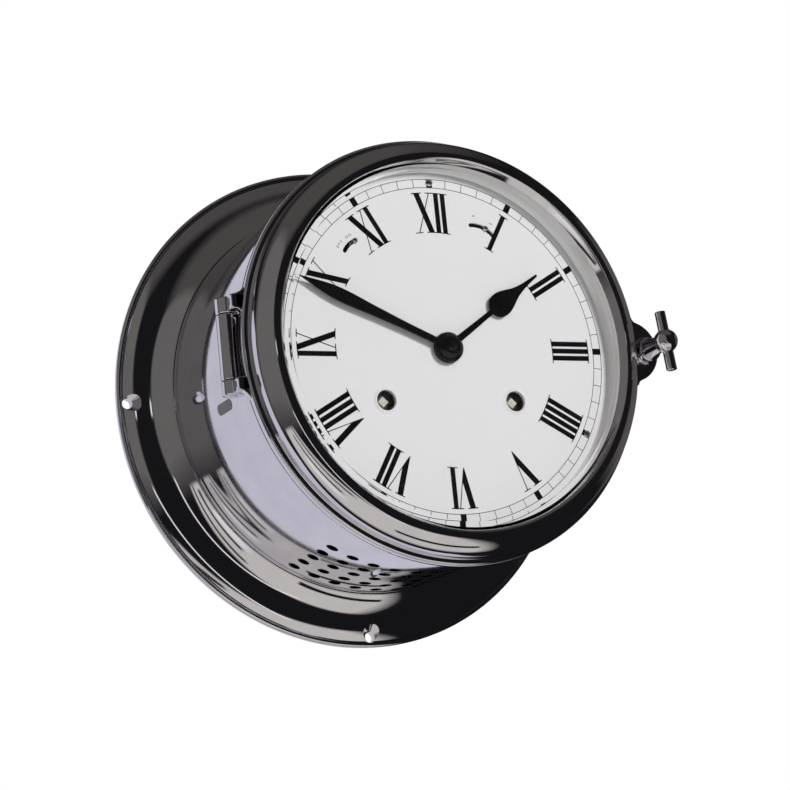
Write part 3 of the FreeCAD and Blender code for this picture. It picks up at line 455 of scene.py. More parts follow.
def hand_lacquer(finish):
    """Black stoved lacquer on punched steel hands: half-gloss, with fine orange peel."""
    material, tree, place = material_tree("hand_lacquer")
    peel = grain(tree, place, 1.2, 2.0)
    shade = mixed(tree, spread(tree, peel, 0.0, 1.0), tuple(finish.hands), linear("101011"))
    return surfaced(material, tree, {
        "Base Color": shade, "Roughness": spread(tree, peel, 0.14, 0.22),
        "Specular IOR Level": 0.25, "Normal": bumped(tree, peel, 0.2, 0.02)})


def worked_metal(name, light, dark, rough, size=0.4, patch=12.0, metal=1.0):
    """A bare metal cut and grained in the shop: fine grain of the tool, in soft patches of
    tarnish."""
    material, tree, place = material_tree(name)
    tarnish = grain(tree, place, patch, 4.0)
    fine = grain(tree, place, size, 2.0)
    shade = mixed(tree, spread(tree, tarnish, 0.0, 1.0), light, dark)
    return surfaced(material, tree, {
        "Base Color": shade, "Metallic": metal,
        "Roughness": spread(tree, fine, rough - 0.06, rough + 0.08),
        "Normal": bumped(tree, fine, 0.15, 0.01)})


def moulded(name, light, dark, rough, size, depth):
    """A moulded or sprayed skin with an even fine texture."""
    material, tree, place = material_tree(name)
    skin = grain(tree, place, size, 3.0)
    shade = mixed(tree, spread(tree, skin, 0.0, 1.0), light, dark)
    return surfaced(material, tree, {
        "Base Color": shade, "Roughness": spread(tree, skin, rough - 0.07, rough + 0.07),
        "Normal": bumped(tree, skin, 0.5, depth)})


def clear_glass():
    """Float glass with a ground bevel: colourless, with only a trace of dust in its gloss.
    Lamps shine through it on to the dial."""
    material, tree, place = material_tree("clear_glass")
    dust = grain(tree, place, 6.0, 4.0)
    glass = add_node(tree, "ShaderNodeBsdfPrincipled", {
        "Base Color": linear("FFFFFF"), "Roughness": spread(tree, dust, 0.0, 0.012),
        "IOR": 1.5, "Transmission Weight": 1.0})
    clear = add_node(tree, "ShaderNodeBsdfTransparent", {"Color": linear("F8F8F8")})
    lamp = add_node(tree, "ShaderNodeLightPath").outputs["Is Shadow Ray"]
    both = add_node(tree, "ShaderNodeMixShader", {
        0: lamp, 1: glass.outputs["BSDF"], 2: clear.outputs["BSDF"]})
    add_node(tree, "ShaderNodeOutputMaterial", {"Surface": both.outputs["Shader"]})
    return material


def make_finishes(finish):
    """Every finish of the clock by name."""
    return {
        "chrome": chrome_plate(finish),
        "dial": dial_lacquer(finish),
        "ring": satin_ring(),
        "ink": ink("dial_ink", finish.ink),
        "hands": hand_lacquer(finish),
        "brass": worked_metal("brass", tuple(finish.brass), linear("B98F45"), 0.3),
        "steel": worked_metal("turned_steel", linear("C9C9C8"), linear("A7A7A6"), 0.26),
        # painted light: a copy of the steel finish painted near-white and only half metallic, so that the
        # key squares, which are filed steel, read lit inside their shaded key holes
        "steel_painted_lit": worked_metal("filed_steel_painted_lit", linear("F4F0E6"), linear("E0DACB"), 0.45,
                                     metal=0.4),
        "spring": worked_metal("blued_spring_steel", linear("6A7486"), linear("4A5266"), 0.3),
        "bell": worked_metal("bell_bronze", linear("D8B98A"), linear("B8935C"), 0.16, 0.6, 20.0),
        "plug": moulded("moulded_nylon", linear("6E6D70"), linear("626164"), 0.5, 0.8, 0.02),
        "rubber": moulded("nitrile_rubber", linear("171718"), linear("101011"), 0.72, 0.6, 0.03),
        "cover": moulded("crackle_paint", linear("1B1B1C"), linear("101011"), 0.5, 1.1, 0.08),
        "glass": clear_glass(),
    }


SLOT_FINISH = {
    "polished_chrome": "chrome", "grey_plug": "plug", "seal_rubber": "rubber",
    "satin_silver_ring": "ring", "dial_silver_white": "dial", "brass": "brass",
    "painted_steel_cover": "cover", "steel": "steel", "spring_steel": "spring",
    "bell_metal": "bell", "clear_glass": "glass", "black_hand": "hands",
}
finishes = {}


# ---------------------------------------------------------------- operators

class DECKCLOCK_OT_finishes(bpy.types.Operator):
    """Makes the materials and gives every CAD node the finish of its slot"""
    bl_idname = "deckclock.finishes"
    bl_label = "Finishes"

    def execute(self, context):
        finishes.update(make_finishes(context.scene.deck_clock_finish))
        for row in frame["record"]["subparts"]:
            node = frame["nodes"][row["node"]]
            node.data.materials.clear()
            node.data.materials.append(finishes[SLOT_FINISH[row["material_slot"]]])
        return {"FINISHED"}


class DECKCLOCK_OT_flange(bpy.types.Operator):
    """Base flange: rolled rim, swept cove up to the drum and four countersunk bolt holes"""
    bl_idname = "deckclock.flange"
    bl_label = "Base flange"

    def execute(self, context):
        case = context.scene.deck_clock_case
        rim, drum = case.flange / MM, case.drum / MM
        flange = turned("flange", outline_of(
            (drum, 2.4), (93.4, 2.4), (93.4, 0.0), (rim - 0.8, 0.0), (rim - 0.23, 0.23),
            (rim, 0.8), (rim, 1.9), ((105.78, 2.96), (rim - 1.5, 3.4)),
            ((104.25, 3.33), (103.9, 3.1)), (103.6, 3.1),
            ((100.24, 5.27), (96.2, 6.6)), ((89.94, 9.36), (drum + 0.6, 13.9)),
            ((drum + 0.42, 14.3), (drum, 14.4))), steps=320)
        tools = []
        for quarter in range(4):
            x, z = clock_point(case.bolt_circle / MM, 90 * quarter)
            tools.append(rod("bolt_way", case.bolt / MM, (x, 1, z), (x, -12, z), vertices=48))
            tools.append(rod("bolt_sink", case.bolt / MM, (x, -3.4, z), (x, -6.45, z),
                             tip=5.3, vertices=64))
        carved(flange, *tools)
        fitted(settled(flange), "case", finishes["chrome"], "polished_chrome", "base_flange")
        return {"FINISHED"}


class DECKCLOCK_OT_drum(bpy.types.Operator):
    """Drum with its field of sound holes and the plugged hole in its side"""
    bl_idname = "deckclock.drum"
    bl_label = "Drum and plug"

    def execute(self, context):
        case = context.scene.deck_clock_case
        outer, wall, front = case.drum / MM, case.wall / MM, case.drum_front / MM
        hole = case.sound_hole / MM
        bands = 40
        heights = [2.4 + 0.4 + (front - 3.2) * band / bands for band in range(bands + 1)]
        drum = turned("drum", [
            (outer - wall, 2.4), (outer - 0.4, 2.4), *[(outer, height) for height in heights],
            (outer - 0.12, front - 0.12), (outer - 0.4, front), (outer - wall, front)],
            steps=288)
        tools = []
        for column in range(10):
            way = clock_point(1, 180 + 6.5 * (column - 4.5))
            tools += [rod("sound_way", hole,
                          (way[0] * (outer - 6), -(23.9 + 9.75 * row), way[1] * (outer - 6)),
                          (way[0] * (outer + 4), -(23.9 + 9.75 * row), way[1] * (outer + 4)),
                          vertices=32) for row in range(5)]
        carved(drum, joined("sound_tools", tools))
        fitted(settled(drum), "case", finishes["chrome"], "polished_chrome", "case_drum")

        half, straight, bearing_of_plug, plug_height = 2.3, 4.9, -100.9, 63.5
        plug = rounded(plate("plug", outline_of(
            (-half, -straight), ((0.0, -straight - half), (half, -straight)),
            (half, straight), ((0.0, straight + half), (-half, straight))),
            -outer - 0.25, 2 - outer), 0.25)
        plug.data.transform(Matrix.Rotation(math.radians(90), 4, "X"))
        plug.data.transform(Matrix.Translation(AHEAD * plug_height * MM))
        plug.data.transform(Matrix.Rotation(math.radians(bearing_of_plug), 4, "Y"))
        fitted(settled(plug), "case", finishes["plug"], "grey_plug", "case_plug")
        return {"FINISHED"}


class DECKCLOCK_OT_case_trim(bpy.types.Operator):
    """Seal, reflector ring round the dial, hinge knuckle and lock lug on the drum"""
    bl_idname = "deckclock.case_trim"
    bl_label = "Case trim"

    def execute(self, context):
        case = context.scene.deck_clock_case
        bezel = context.scene.deck_clock_bezel
        drum, front = case.drum / MM, case.drum_front / MM
        seal = turned("seal", outline_of(
            (drum - 2.6, front), (drum - 0.3, front), (drum - 0.3, front + 0.3),
            ((drum - 1.45, front + 0.6), (drum - 2.6, front + 0.3))), steps=192)
        fitted(seal, "case", finishes["rubber"], "seal_rubber", "bezel_gasket")

        face = context.scene.deck_clock_dial.front / MM
        ring = turned("reflector_ring", outline_of(
            (74.75, face - 1.2), (78.2, face - 1.2), (78.2, face + 6.1),
            ((78.0, face + 6.3), (77.6, face + 6.3)), ((77.0, face + 2.9), (74.9, face + 0.3)),
            (74.75, face + 0.2)), steps=256)
        fitted(ring, "case", finishes["ring"], "satin_silver_ring", "dial_cove_ring")

        x, height = -bezel.hinge_offset / MM, bezel.hinge_height / MM
        radius = bezel.knuckle / MM
        knuckle = side_plate("case_knuckle", outline_of(
            (-84.3, height + 2.7), (x, height + radius), ((x - radius, height), (x, height - radius)),
            (-84.3, height - 3.0)),
            KNUCKLE_LOW + KNUCKLE_GAP, KNUCKLE_TOP - KNUCKLE_GAP)
        rounded(knuckle, 0.35)
        carved(knuckle, rod("drum_way", drum, (0, 0, 0), (0, -120, 0), vertices=288))
        fitted(settled(knuckle), "case", finishes["chrome"], "polished_chrome",
               "case_hinge_knuckle")

        lock = bezel.lock_offset / MM
        lug = plate("lug", outline_of(
            (82.0, -LUG_RADIUS), (lock, -LUG_RADIUS), ((lock + LUG_RADIUS, 0.0),
                                                       (lock, LUG_RADIUS)), (82.0, LUG_RADIUS)),
            82.0, front - 0.4)
        rounded(lug, 0.5)
        carved(lug, rod("drum_way", drum, (0, 0, 0), (0, -120, 0), vertices=288),
               rod("screw_way", 3.0, (lock, -70, 0), (lock, -100, 0)))
        fitted(settled(lug), "case", finishes["chrome"], "polished_chrome", "lock_lug")
        return {"FINISHED"}


class DECKCLOCK_OT_bezel(bpy.types.Operator):
    """Bezel ring with its lock ear and the two arms that carry the hinge knuckles"""
    bl_idname = "deckclock.bezel"
    bl_label = "Bezel"

    def execute(self, context):
        bezel = context.scene.deck_clock_bezel
        rim, back = bezel.rim / MM, bezel.back / MM
        ring = turned("bezel", outline_of(
            (80.0, back), (rim - 0.6, back), (rim - 0.17, back + 0.17), (rim, back + 0.6),
            (rim, 98.4), ((88.66, 99.52), (87.7, 100.0)), (86.8, 100.1), (86.4, 101.0),
            ((84.66, 108.6), (79.6, 112.6)), ((77.7, 112.3), (76.75, 111.2)), (75.5, 109.5),
            (75.6, 109.1), (78.8, 109.0), (78.8, 107.0), (80.0, 107.0)), steps=360)
        fitted(ring, "bezel", finishes["chrome"], "polished_chrome", "bezel_ring")

        lock = bezel.lock_offset / MM
        ear = plate("lock_ear", self.ear(rim), back, 102.5)
        rounded(ear, 0.7, 4)
        carved(ear, rod("screw_way", 3.0, (lock, -90, 0), (lock, -110, 0)))
        fitted(settled(ear), "bezel", finishes["chrome"], "polished_chrome")

        x, height, radius = -bezel.hinge_offset / MM, bezel.hinge_height / MM, bezel.knuckle / MM
        sides = []
        for low, high, top_flow, low_flow in (
                (KNUCKLE_TOP + KNUCKLE_GAP, HINGE_TOP, 3.0, 1.5),
                (HINGE_LOW, KNUCKLE_LOW - KNUCKLE_GAP, 1.5, 5.5)):
            barrel = rod("barrel", radius, (x, -height, low), (x, -height, high), vertices=96)
            sides.append(rounded(barrel, 0.6))
            arm = side_plate("arm", outline_of(
                (x - 1.6, height), (x - 1.6, back + 1.0),
                ((x - 1.2, 97.6), (x + 0.6, 98.2)), (-85.0, 98.2), (-85.0, back),
                (x + 3.4, back), (x + 3.6, height)), low + 0.3, high - 0.3)
            sides.append(rounded(arm, 0.5))
            root = plate("root", outline_of(
                (-83.0, low - low_flow), (self.rim_x(rim, low - low_flow), low - low_flow),
                ((-88.2, low - 0.2 * low_flow), (x - 0.2, low + 0.3)),
                ((x - 1.3, low + 0.8), (x - 1.6, low + 1.8)), (x - 1.6, high - 1.8),
                ((x - 1.3, high - 0.8), (x - 0.2, high - 0.3)),
                ((-87.9, high + 0.2 * top_flow), (self.rim_x(rim, high + top_flow),
                                                  high + top_flow)),
                (-83.0, high + top_flow)), back, 98.2)
            sides.append(rounded(root, 0.4))
        arms = settled(joined("hinge_arms", sides))
        fitted(arms, "bezel", finishes["chrome"], "polished_chrome")
        return {"FINISHED"}

    @staticmethod
    def rim_x(rim, z):
        """Where the rim's left edge is at a height z, a little inside it."""
        return 0.3 - math.sqrt(rim * rim - z * z)

    @staticmethod
    def ear(rim, lobe=13.0, fillet=3.0, offset=85.6):
        """The ear's outline: a round lobe that flows into the rim through two fillets."""
        near, far = lobe + fillet, rim + fillet
        fx = (far * far - near * near + offset * offset) / (2 * offset)
        fz = math.sqrt(far * far - fx * fx)
        corners = {}
        for side in (1, -1):
            centre = Vector((fx, side * fz))
            on_rim = centre * (rim / far)
            on_lobe = Vector((offset, 0)) + (centre - Vector((offset, 0))) * (lobe / near)
            inward = ((on_rim + on_lobe) / 2 - centre).normalized()
            corners[side] = [tuple(spot) for spot in (on_rim, centre + inward * fillet, on_lobe)]
        top, low = corners[1], corners[-1]
        return [(rim - 5, top[0][1])] + [top[0]] + bent(*top) \
            + bent(top[2], (offset + lobe, 0.0), low[2], 32) + bent(low[2], low[1], low[0]) \
            + [(rim - 5, low[0][1])]


class DECKCLOCK_OT_glass(bpy.types.Operator):
    """Bevelled glass and the ring that holds it in the bezel"""
    bl_idname = "deckclock.glass"
    bl_label = "Glass"

    def execute(self, context):
        glass = turned("glass", [
            (0.0, 107.0), (78.45, 107.0), (78.6, 107.15), (78.6, 108.75), (78.45, 108.9),
            (76.0, 108.9), (73.3, 110.0), (0.0, 110.0)], steps=256, closed=False, smooth=10)
        fitted(glass, "bezel", finishes["glass"], "clear_glass", "bezel_glass")
        ring = turned("retainer", [
            (77.4, 105.9), (77.6, 105.7), (79.8, 105.7), (80.0, 105.9), (80.0, 107.0),
            (77.4, 107.0)], steps=192)
        fitted(ring, "bezel", finishes["brass"], "brass", "glass_retaining_ring")
        return {"FINISHED"}


class DECKCLOCK_OT_hinge_and_lock(bpy.types.Operator):
    """Hinge pin, and the lock screw with its collar, ball and tommy bar"""
    bl_idname = "deckclock.hinge_and_lock"
    bl_label = "Hinge pin and lock"

    def execute(self, context):
        bezel = context.scene.deck_clock_bezel
        x, y = -bezel.hinge_offset / MM, -bezel.hinge_height / MM
        pin = rounded(rod("hinge_pin_piece", 1.6, (x, y, HINGE_LOW - 0.3), (x, y, HINGE_TOP - 0.1)), 0.35)
        fitted(settled(pin), "bezel", finishes["chrome"], "polished_chrome", "hinge_pin")

        lock, ball = bezel.lock_offset / MM, bezel.ball / MM
        washer = turned("washer", [
            (2.6, 102.6), (5.6, 102.6), (5.8, 102.8), (5.8, 103.5), (5.6, 103.7), (2.6, 103.7)],
            steps=96, centre=(lock, 0))
        fitted(washer, "lock_slide", finishes["chrome"], "polished_chrome", "lock_washer")

        middle = bezel.ball_height / MM
        neck = 3.3
        seat = middle - math.sqrt(ball ** 2 - neck ** 2)
        side = ball * math.sqrt(0.5)
        screw = turned("lock_screw_piece", outline_of(
            (0.0, 85.2), (1.9, 85.2), (2.5, 85.9), (2.5, 103.8), (4.9, 103.8), (5.2, 104.1),
            (5.2, 106.0), ((5.0, 106.8), (4.5, 107.1)), (4.4, 107.2),
            ((3.7, 111.4), (neck, seat)), ((ball, middle), (side, middle + side)),
            ((ball * 0.383, middle + ball * 0.924), (0.0, middle + ball))),
            steps=96, centre=(lock, 0), closed=False)
        half = bezel.bar / MM / 2
        lean = math.radians(BAR_LEAN)
        reach = (half * math.sin(lean), half * math.cos(lean))
        bar = rod("tommy_bar", BAR_RADIUS, (lock - reach[0], -middle, reach[1]),
                  (lock + reach[0], -middle, -reach[1]), vertices=64)
        rounded(bar, 0.55, 4)
        fitted(screw, "lock_handle", finishes["chrome"], "polished_chrome", "lock_screw")
        fitted(settled(bar), "lock_handle", finishes["chrome"], "polished_chrome",
               "lock_tee_bar")
        return {"FINISHED"}


class DECKCLOCK_OT_dial(bpy.types.Operator):
    """Dial plate with its holes, slots and embossed key-hole rims"""
    bl_idname = "deckclock.dial"
    bl_label = "Dial plate"

    SLOTS = ((-33.1, 36.0, 9.0, -63.0, -22.0), (18.2, 41.6, 11.5, -4.5, 55.5))
    KEYS = (29.2, -21.7)

    def execute(self, context):
        dial = context.scene.deck_clock_dial
        face, radius = dial.front / MM, dial.radius / MM
        low = face - 1.2
        sheet = rod("dial", radius, (0, -low, 0), (0, -face, 0), vertices=256)
        tools = [rod("centre_way", 4.6, (0, -90, 0), (0, -110, 0), vertices=96)]
        across, down = self.KEYS
        for x in (across, -across):
            tools.append(rod("key_way", 4.2, (x, -90, down), (x, -110, down), vertices=96))
        for x, z, reach, first, last in self.SLOTS:
            tools.append(plate("slot_way", self.slot(x, z, reach, first, last), 90, 110))
        carved(sheet, *tools)
        fitted(settled(sheet), "case", finishes["dial"], "dial_silver_white", "dial_plate")

        rim = turned("key_hole_rims", outline_of(
            (4.2, face - 0.6), (4.2, face + 0.3), ((4.45, face + 0.55), (4.85, face + 0.5)),
            ((5.3, face + 0.2), (5.9, face + 0.01)), (5.9, face - 0.1), (4.4, face - 0.6)),
            steps=96, centre=(across, down))
        rims = settled(joined("key_hole_rims", [rim, copied(rim, move=(-2 * across, 0, 0))]))
        fitted(rims, "case", finishes["dial"], "dial_silver_white")

        screws = []
        for degrees in (0, 120, 240):
            x, z = clock_point(70.6, degrees)
            head = turned("screw_head", outline_of(
                (0.0, face - 0.4), (1.5, face - 0.4), (1.55, face + 0.2),
                ((1.0, face + 0.52), (0.0, face + 0.62))), steps=48, centre=(x, z), closed=False)
            notch = rod("notch", 0.21, (x - 3, -(face + 0.6), z), (x + 3, -(face + 0.6), z),
                        vertices=12)
            screws.append(carved(head, notch))
        heads = settled(joined("dial_screw_heads", screws))
        fitted(heads, "case", finishes["steel"], "steel", "dial_screws")
        return {"FINISHED"}

    @staticmethod
    def slot(x, z, reach, first, last, half=0.9):
        """A curved slot's outline about its lever's pivot."""
        def spot(distance, degrees):
            across, up = clock_point(distance, degrees)
            return x + across, z + up
        span = [first + (last - first) * step / 24 for step in range(25)]
        ends = []
        for middle, way in ((last, 1), (first, -1)):
            cx, cz = spot(reach, middle)
            arc = [clock_point(half, middle + way * 90 + turn)
                   for turn in (-60, -30, 0, 30, 60)]
            ends.append([(cx + dx, cz + dz) for dx, dz in arc])
        return [spot(reach + half, turn) for turn in span] + ends[0] \
            + [spot(reach - half, turn) for turn in reversed(span)] + ends[1]


class DECKCLOCK_OT_print(bpy.types.Operator):
    """Printed dial: minute track, Roman hours and the small marks at the two slots"""
    bl_idname = "deckclock.print"
    bl_label = "Dial print"

    HOURS = ("XII", "I", "II", "III", "IIII", "V", "VI", "VII", "VIII", "IX", "X", "XI")
    CENTRES = {
        "I": (0.0,), "II": (-1.5, 1.5), "III": (-3.0, 0.0, 3.0), "IIII": (-4.5, -1.5, 1.5, 4.5),
        "V": (0.0,), "VI": (-1.9, 2.8), "VII": (-3.6, 1.3, 4.3), "VIII": (-4.9, 0.0, 3.1, 6.2),
        "IX": (-2.9, 2.5), "X": (0.0,), "XI": (-2.5, 2.9), "XII": (-3.6, 2.4, 5.4),
    }
    HALF_SPAN = 2.9
    HEAVY = 1.25
    THIN = 0.22
    STEM = 1.05
    SERIF = 0.21
    OVERHANG = {"heavy": 2.3, "thin": 1.7, "stem": 2.2}

    def execute(self, context):
        dial = context.scene.deck_clock_dial
        face = dial.front / MM
        self.low, self.high = face - 0.02, face + 0.04
        self.foot, self.head = dial.numeral_foot / MM, dial.numeral_head / MM
        numerals = []
        for hour, word in enumerate(self.HOURS):
            strokes = self.numeral(word)
            numeral = joined(f"hour_{hour}", strokes)
            numeral.data.transform(
                Matrix.Rotation(math.radians(360 / HOUR_COUNT * hour), 4, "Y"))
            numerals.append(numeral)
        fitted(settled(joined("hour_numerals", numerals)), "case", finishes["ink"],
               "dial_silver_white")

        inner, outer = dial.track_inner / MM, dial.track_outer / MM
        line = 0.12
        marks = []
        for radius in (inner, outer):
            marks.append(turned("circle", [
                (radius - line, self.low), (radius + line, self.low),
                (radius + line, self.high), (radius - line, self.high)], steps=240))
        tick = self.stroke([(-line, inner), (line, inner), (line, outer), (-line, outer)])
        block = self.stroke([(-1.3, inner), (1.3, inner), (1.3, outer), (-1.3, outer)])
        for minute in range(MINUTE_COUNT):
            pattern = tick if minute % 5 else block
            marks.append(copied(pattern, turn=360 / MINUTE_COUNT * minute))
        for pattern in (tick, block):
            bpy.data.objects.remove(pattern)
        fitted(settled(joined("minute_track", marks)), "case", finishes["ink"],
               "dial_silver_white")

        small = [self.letter(char, radius, degrees) for char, radius, degrees in (
            ("O", 60.6, -46.6), ("F", 60.9, -45.2), ("F", 60.9, -43.9),
            ("O", 60.7, -40.9), ("N", 60.4, -39.3))]
        x, z = clock_point(60.2, 18.5)
        small.append(rod("dot", 0.35, (x, -self.low, z), (x, -self.high, z), vertices=16))
        x, z = clock_point(57.2, -38.0)
        small.append(rod("dot", 0.3, (x, -self.low, z), (x, -self.high, z), vertices=16))
        dash = self.stroke([(-0.65, 60.1), (0.65, 60.1), (0.65, 60.4), (-0.65, 60.4)])
        small.append(copied(dash, turn=26.4))
        bpy.data.objects.remove(dash)
        fitted(settled(joined("slot_marks", small)), "case", finishes["ink"],
               "dial_silver_white")
        return {"FINISHED"}

    def stroke(self, points):
        """One printed stroke through (x, radius) corners, its heads and feet on circles."""
        outline = [(x, math.sqrt(radius * radius - x * x)) for x, radius in points]
        return plate("stroke", outline, self.low, self.high)

    def serif(self, radius, start, end):
        """A thin serif that follows a circle from x start to x end."""
        steps = max(2, round(end - start))
        places = [start + (end - start) * step / steps for step in range(steps + 1)]
        return self.stroke([(x, radius + self.SERIF) for x in places]
                           + [(x, radius - self.SERIF) for x in reversed(places)])

    def numeral(self, word):
        """The strokes of one Roman numeral, its feet to the dial's centre."""
        span, heavy, thin, stem = self.HALF_SPAN, self.HEAVY, self.THIN, self.STEM
        foot, head = self.foot, self.head
        strokes, spans = [], {foot: [], head: []}

        def serif_at(radius, x, kind):
            spans[radius].append((x - self.OVERHANG[kind], x + self.OVERHANG[kind]))

        for char, x in zip(word, self.CENTRES[word]):
            if char == "I":
                strokes.append(self.stroke([(x - stem, head), (x + stem, head),
                                            (x + stem, foot), (x - stem, foot)]))
                serif_at(head, x, "stem")
                serif_at(foot, x, "stem")
            elif char == "V":
                tip = x - 0.45
                share = 0.645
                crotch = (x - span + heavy + (tip - x + span + heavy) * share,
                          head + (foot - head) * share)
                strokes.append(self.stroke([(x - span - heavy, head), (x - span + heavy, head),
                                            crotch, (tip, foot - 0.2)]))
                strokes.append(self.stroke([(x + span - thin, head), (x + span + thin, head),
                                            (tip + 2 * thin, foot + 0.6), (tip, foot - 0.2)]))
                serif_at(head, x - span, "heavy")
                serif_at(head, x + span, "thin")
            else:
                strokes.append(self.stroke([(x - span - heavy, head), (x - span + heavy, head),
                                            (x + span + heavy, foot), (x + span - heavy, foot)]))
                strokes.append(self.stroke([(x + span - thin, head), (x + span + thin, head),
                                            (x - span + thin, foot), (x - span - thin, foot)]))
                serif_at(head, x - span, "heavy")
                serif_at(foot, x + span, "heavy")
                serif_at(head, x + span, "thin")
                serif_at(foot, x - span, "thin")
        for radius, ends in spans.items():
            ends.sort()
            while ends:
                start, end = ends.pop(0)
                while ends and ends[0][0] < end:
                    end = max(end, ends.pop(0)[1])
                strokes.append(self.serif(radius, start, end))
        return strokes

    def letter(self, char, radius, degrees, height=1.15):
        """A small printed letter, upright to the dial's centre."""
        bpy.ops.object.select_all(action="DESELECT")
        bpy.ops.object.text_add()
        text = bpy.context.object
        text.data.body = char
        text.data.size = height / 0.7 * MM
        text.data.align_x = "CENTER"
        text.data.align_y = "CENTER"
        text.data.extrude = 0.03 * MM
        text.data.resolution_u = 3
        bpy.ops.object.convert(target="MESH")
        piece = named("letter")
        x, z = clock_point(radius, degrees)
        piece.data.transform(Matrix.Rotation(math.pi / 2, 4, "X"))
        piece.data.transform(Matrix.Rotation(math.radians(degrees), 4, "Y"))
        piece.data.transform(Matrix.Translation((x * MM, -self.low * MM, z * MM)))
        return piece


class DECKCLOCK_OT_hands(bpy.types.Operator):
    """Hour hand, minute hand and the domed nut over them"""
    bl_idname = "deckclock.hands"
    bl_label = "Hands"

    def execute(self, context):
        dial = context.scene.deck_clock_dial
        self.hand("hour_hand_piece", "hour", "hour_hand", math.degrees(dial.hour_bearing),
                  100.4, 6.4, [(1.5, 4.0), (1.25, 16.0), (1.1, 26.0), (1.7, 27.0), (3.0, 27.7),
                               (4.5, 29.4), (5.05, 32.0), (4.85, 34.5), (3.75, 37.8),
                               (2.3, 41.3), (1.35, 45.5), (0.85, 50.0), (0.5, 54.3),
                               (0.0, 54.8)])
        self.hand("minute_hand_piece", "minute", "minute_hand",
                  math.degrees(dial.minute_bearing), 101.8, 6.2,
                  [(1.45, 4.0), (1.6, 20.0), (2.2, 36.0), (2.8, 48.0), (2.35, 57.0),
                   (0.0, 69.9)])
        nut = turned("hand_nut_piece", outline_of(
            (1.5, 102.8), (5.2, 102.8), (5.4, 103.0), (5.4, 103.3), ((4.2, 104.2), (2.6, 104.6)),
            ((1.9, 104.7), (1.7, 104.85)), ((1.0, 105.1), (0.0, 105.2))), steps=96, closed=False)
        fitted(nut, "minute", finishes["hands"], "black_hand", "hand_nut")
        return {"FINISHED"}

    @staticmethod
    def hand(name, body, node, degrees, low, boss, half):
        """A punched hand: its right-hand edge is given, pointing at twelve."""
        right = eased(half)
        left = [(-x, z) for x, z in reversed(right) if x > 0]
        blade = rounded(plate("blade", right + left, low, low + 0.8), 0.16, 2, 20)
        hub = turned("hub", outline_of(
            (3.0 if body == "minute" else 4.2, low), (boss, low), (boss, low + 0.6),
            ((boss - 0.08, low + 0.76), (boss - 0.3, low + 0.84)),
            (3.0 if body == "minute" else 4.2, low + 0.84)), steps=96)
        piece = joined(name, [blade, hub])
        piece.data.transform(Matrix.Rotation(math.radians(degrees), 4, "Y"))
        fitted(settled(piece), body, finishes["hands"], "black_hand", node)


class DECKCLOCK_OT_levers(bpy.types.Operator):
    """Pin heads of the two levers in their slots, and the key squares in their holes"""
    bl_idname = "deckclock.levers"
    bl_label = "Lever pins"

    def execute(self, context):
        for name, body, x, z, reach, pin in (
                ("strike_pin_head", "strike_silent", -33.1, 36.0, 9.0, -22.0),
                ("regulator_pin_head", "slow_fast", 18.2, 41.6, 11.5, 29.0)):
            across, up = clock_point(reach, pin)
            head = turned(name, outline_of(
                (0.0, 98.2), (0.8, 98.2), (0.8, 99.3), (1.15, 99.4), (1.15, 99.75),
                ((0.8, 100.15), (0.0, 100.3))), steps=48, centre=(x + across, z + up),
                closed=False)
            fitted(head, body, finishes["steel"], "steel")
        across, down = DECKCLOCK_OT_dial.KEYS
        for name, body, x in (("time_key_square", "time_winding", across),
                              ("strike_key_square", "strike_winding", -across)):
            square = turned(name, [
                (0.0, 93.0), (2.62, 93.0), (2.62, 95.6), (2.2, 96.05), (0.95, 96.05),
                (0.6, 96.25), (0.0, 96.35)], steps=4, centre=(x, down), closed=False, smooth=10)
            # the key squares take the steel copy painted near-white, a painted light that stands in for
            # the lamp light they catch in their holes
            fitted(square, body, finishes["steel_painted_lit"], "steel")
        return {"FINISHED"}


class DECKCLOCK_OT_back(bpy.types.Operator):
    """Round-headed screws that hold the back cover"""
    bl_idname = "deckclock.back"
    bl_label = "Back screws"

    def execute(self, context):
        screws = []
        for quarter in range(4):
            x, z = clock_point(89.2, 45 + 90 * quarter)
            head = turned("cover_screw", outline_of(
                (0.0, 4.0), (1.4, 4.0), (1.4, 0.62), (2.6, 0.62), (2.6, 0.45),
                ((1.6, 0.12), (0.0, 0.05))), steps=48, centre=(x, z), closed=False)
            notch = rod("notch", 0.28, (x - 4, -0.08, z), (x + 4, -0.08, z), vertices=12)
            screws.append(carved(head, notch))
        heads = settled(joined("cover_screw_heads", screws))
        fitted(heads, "case", finishes["steel"], "steel", "back_cover_screws")
        return {"FINISHED"}


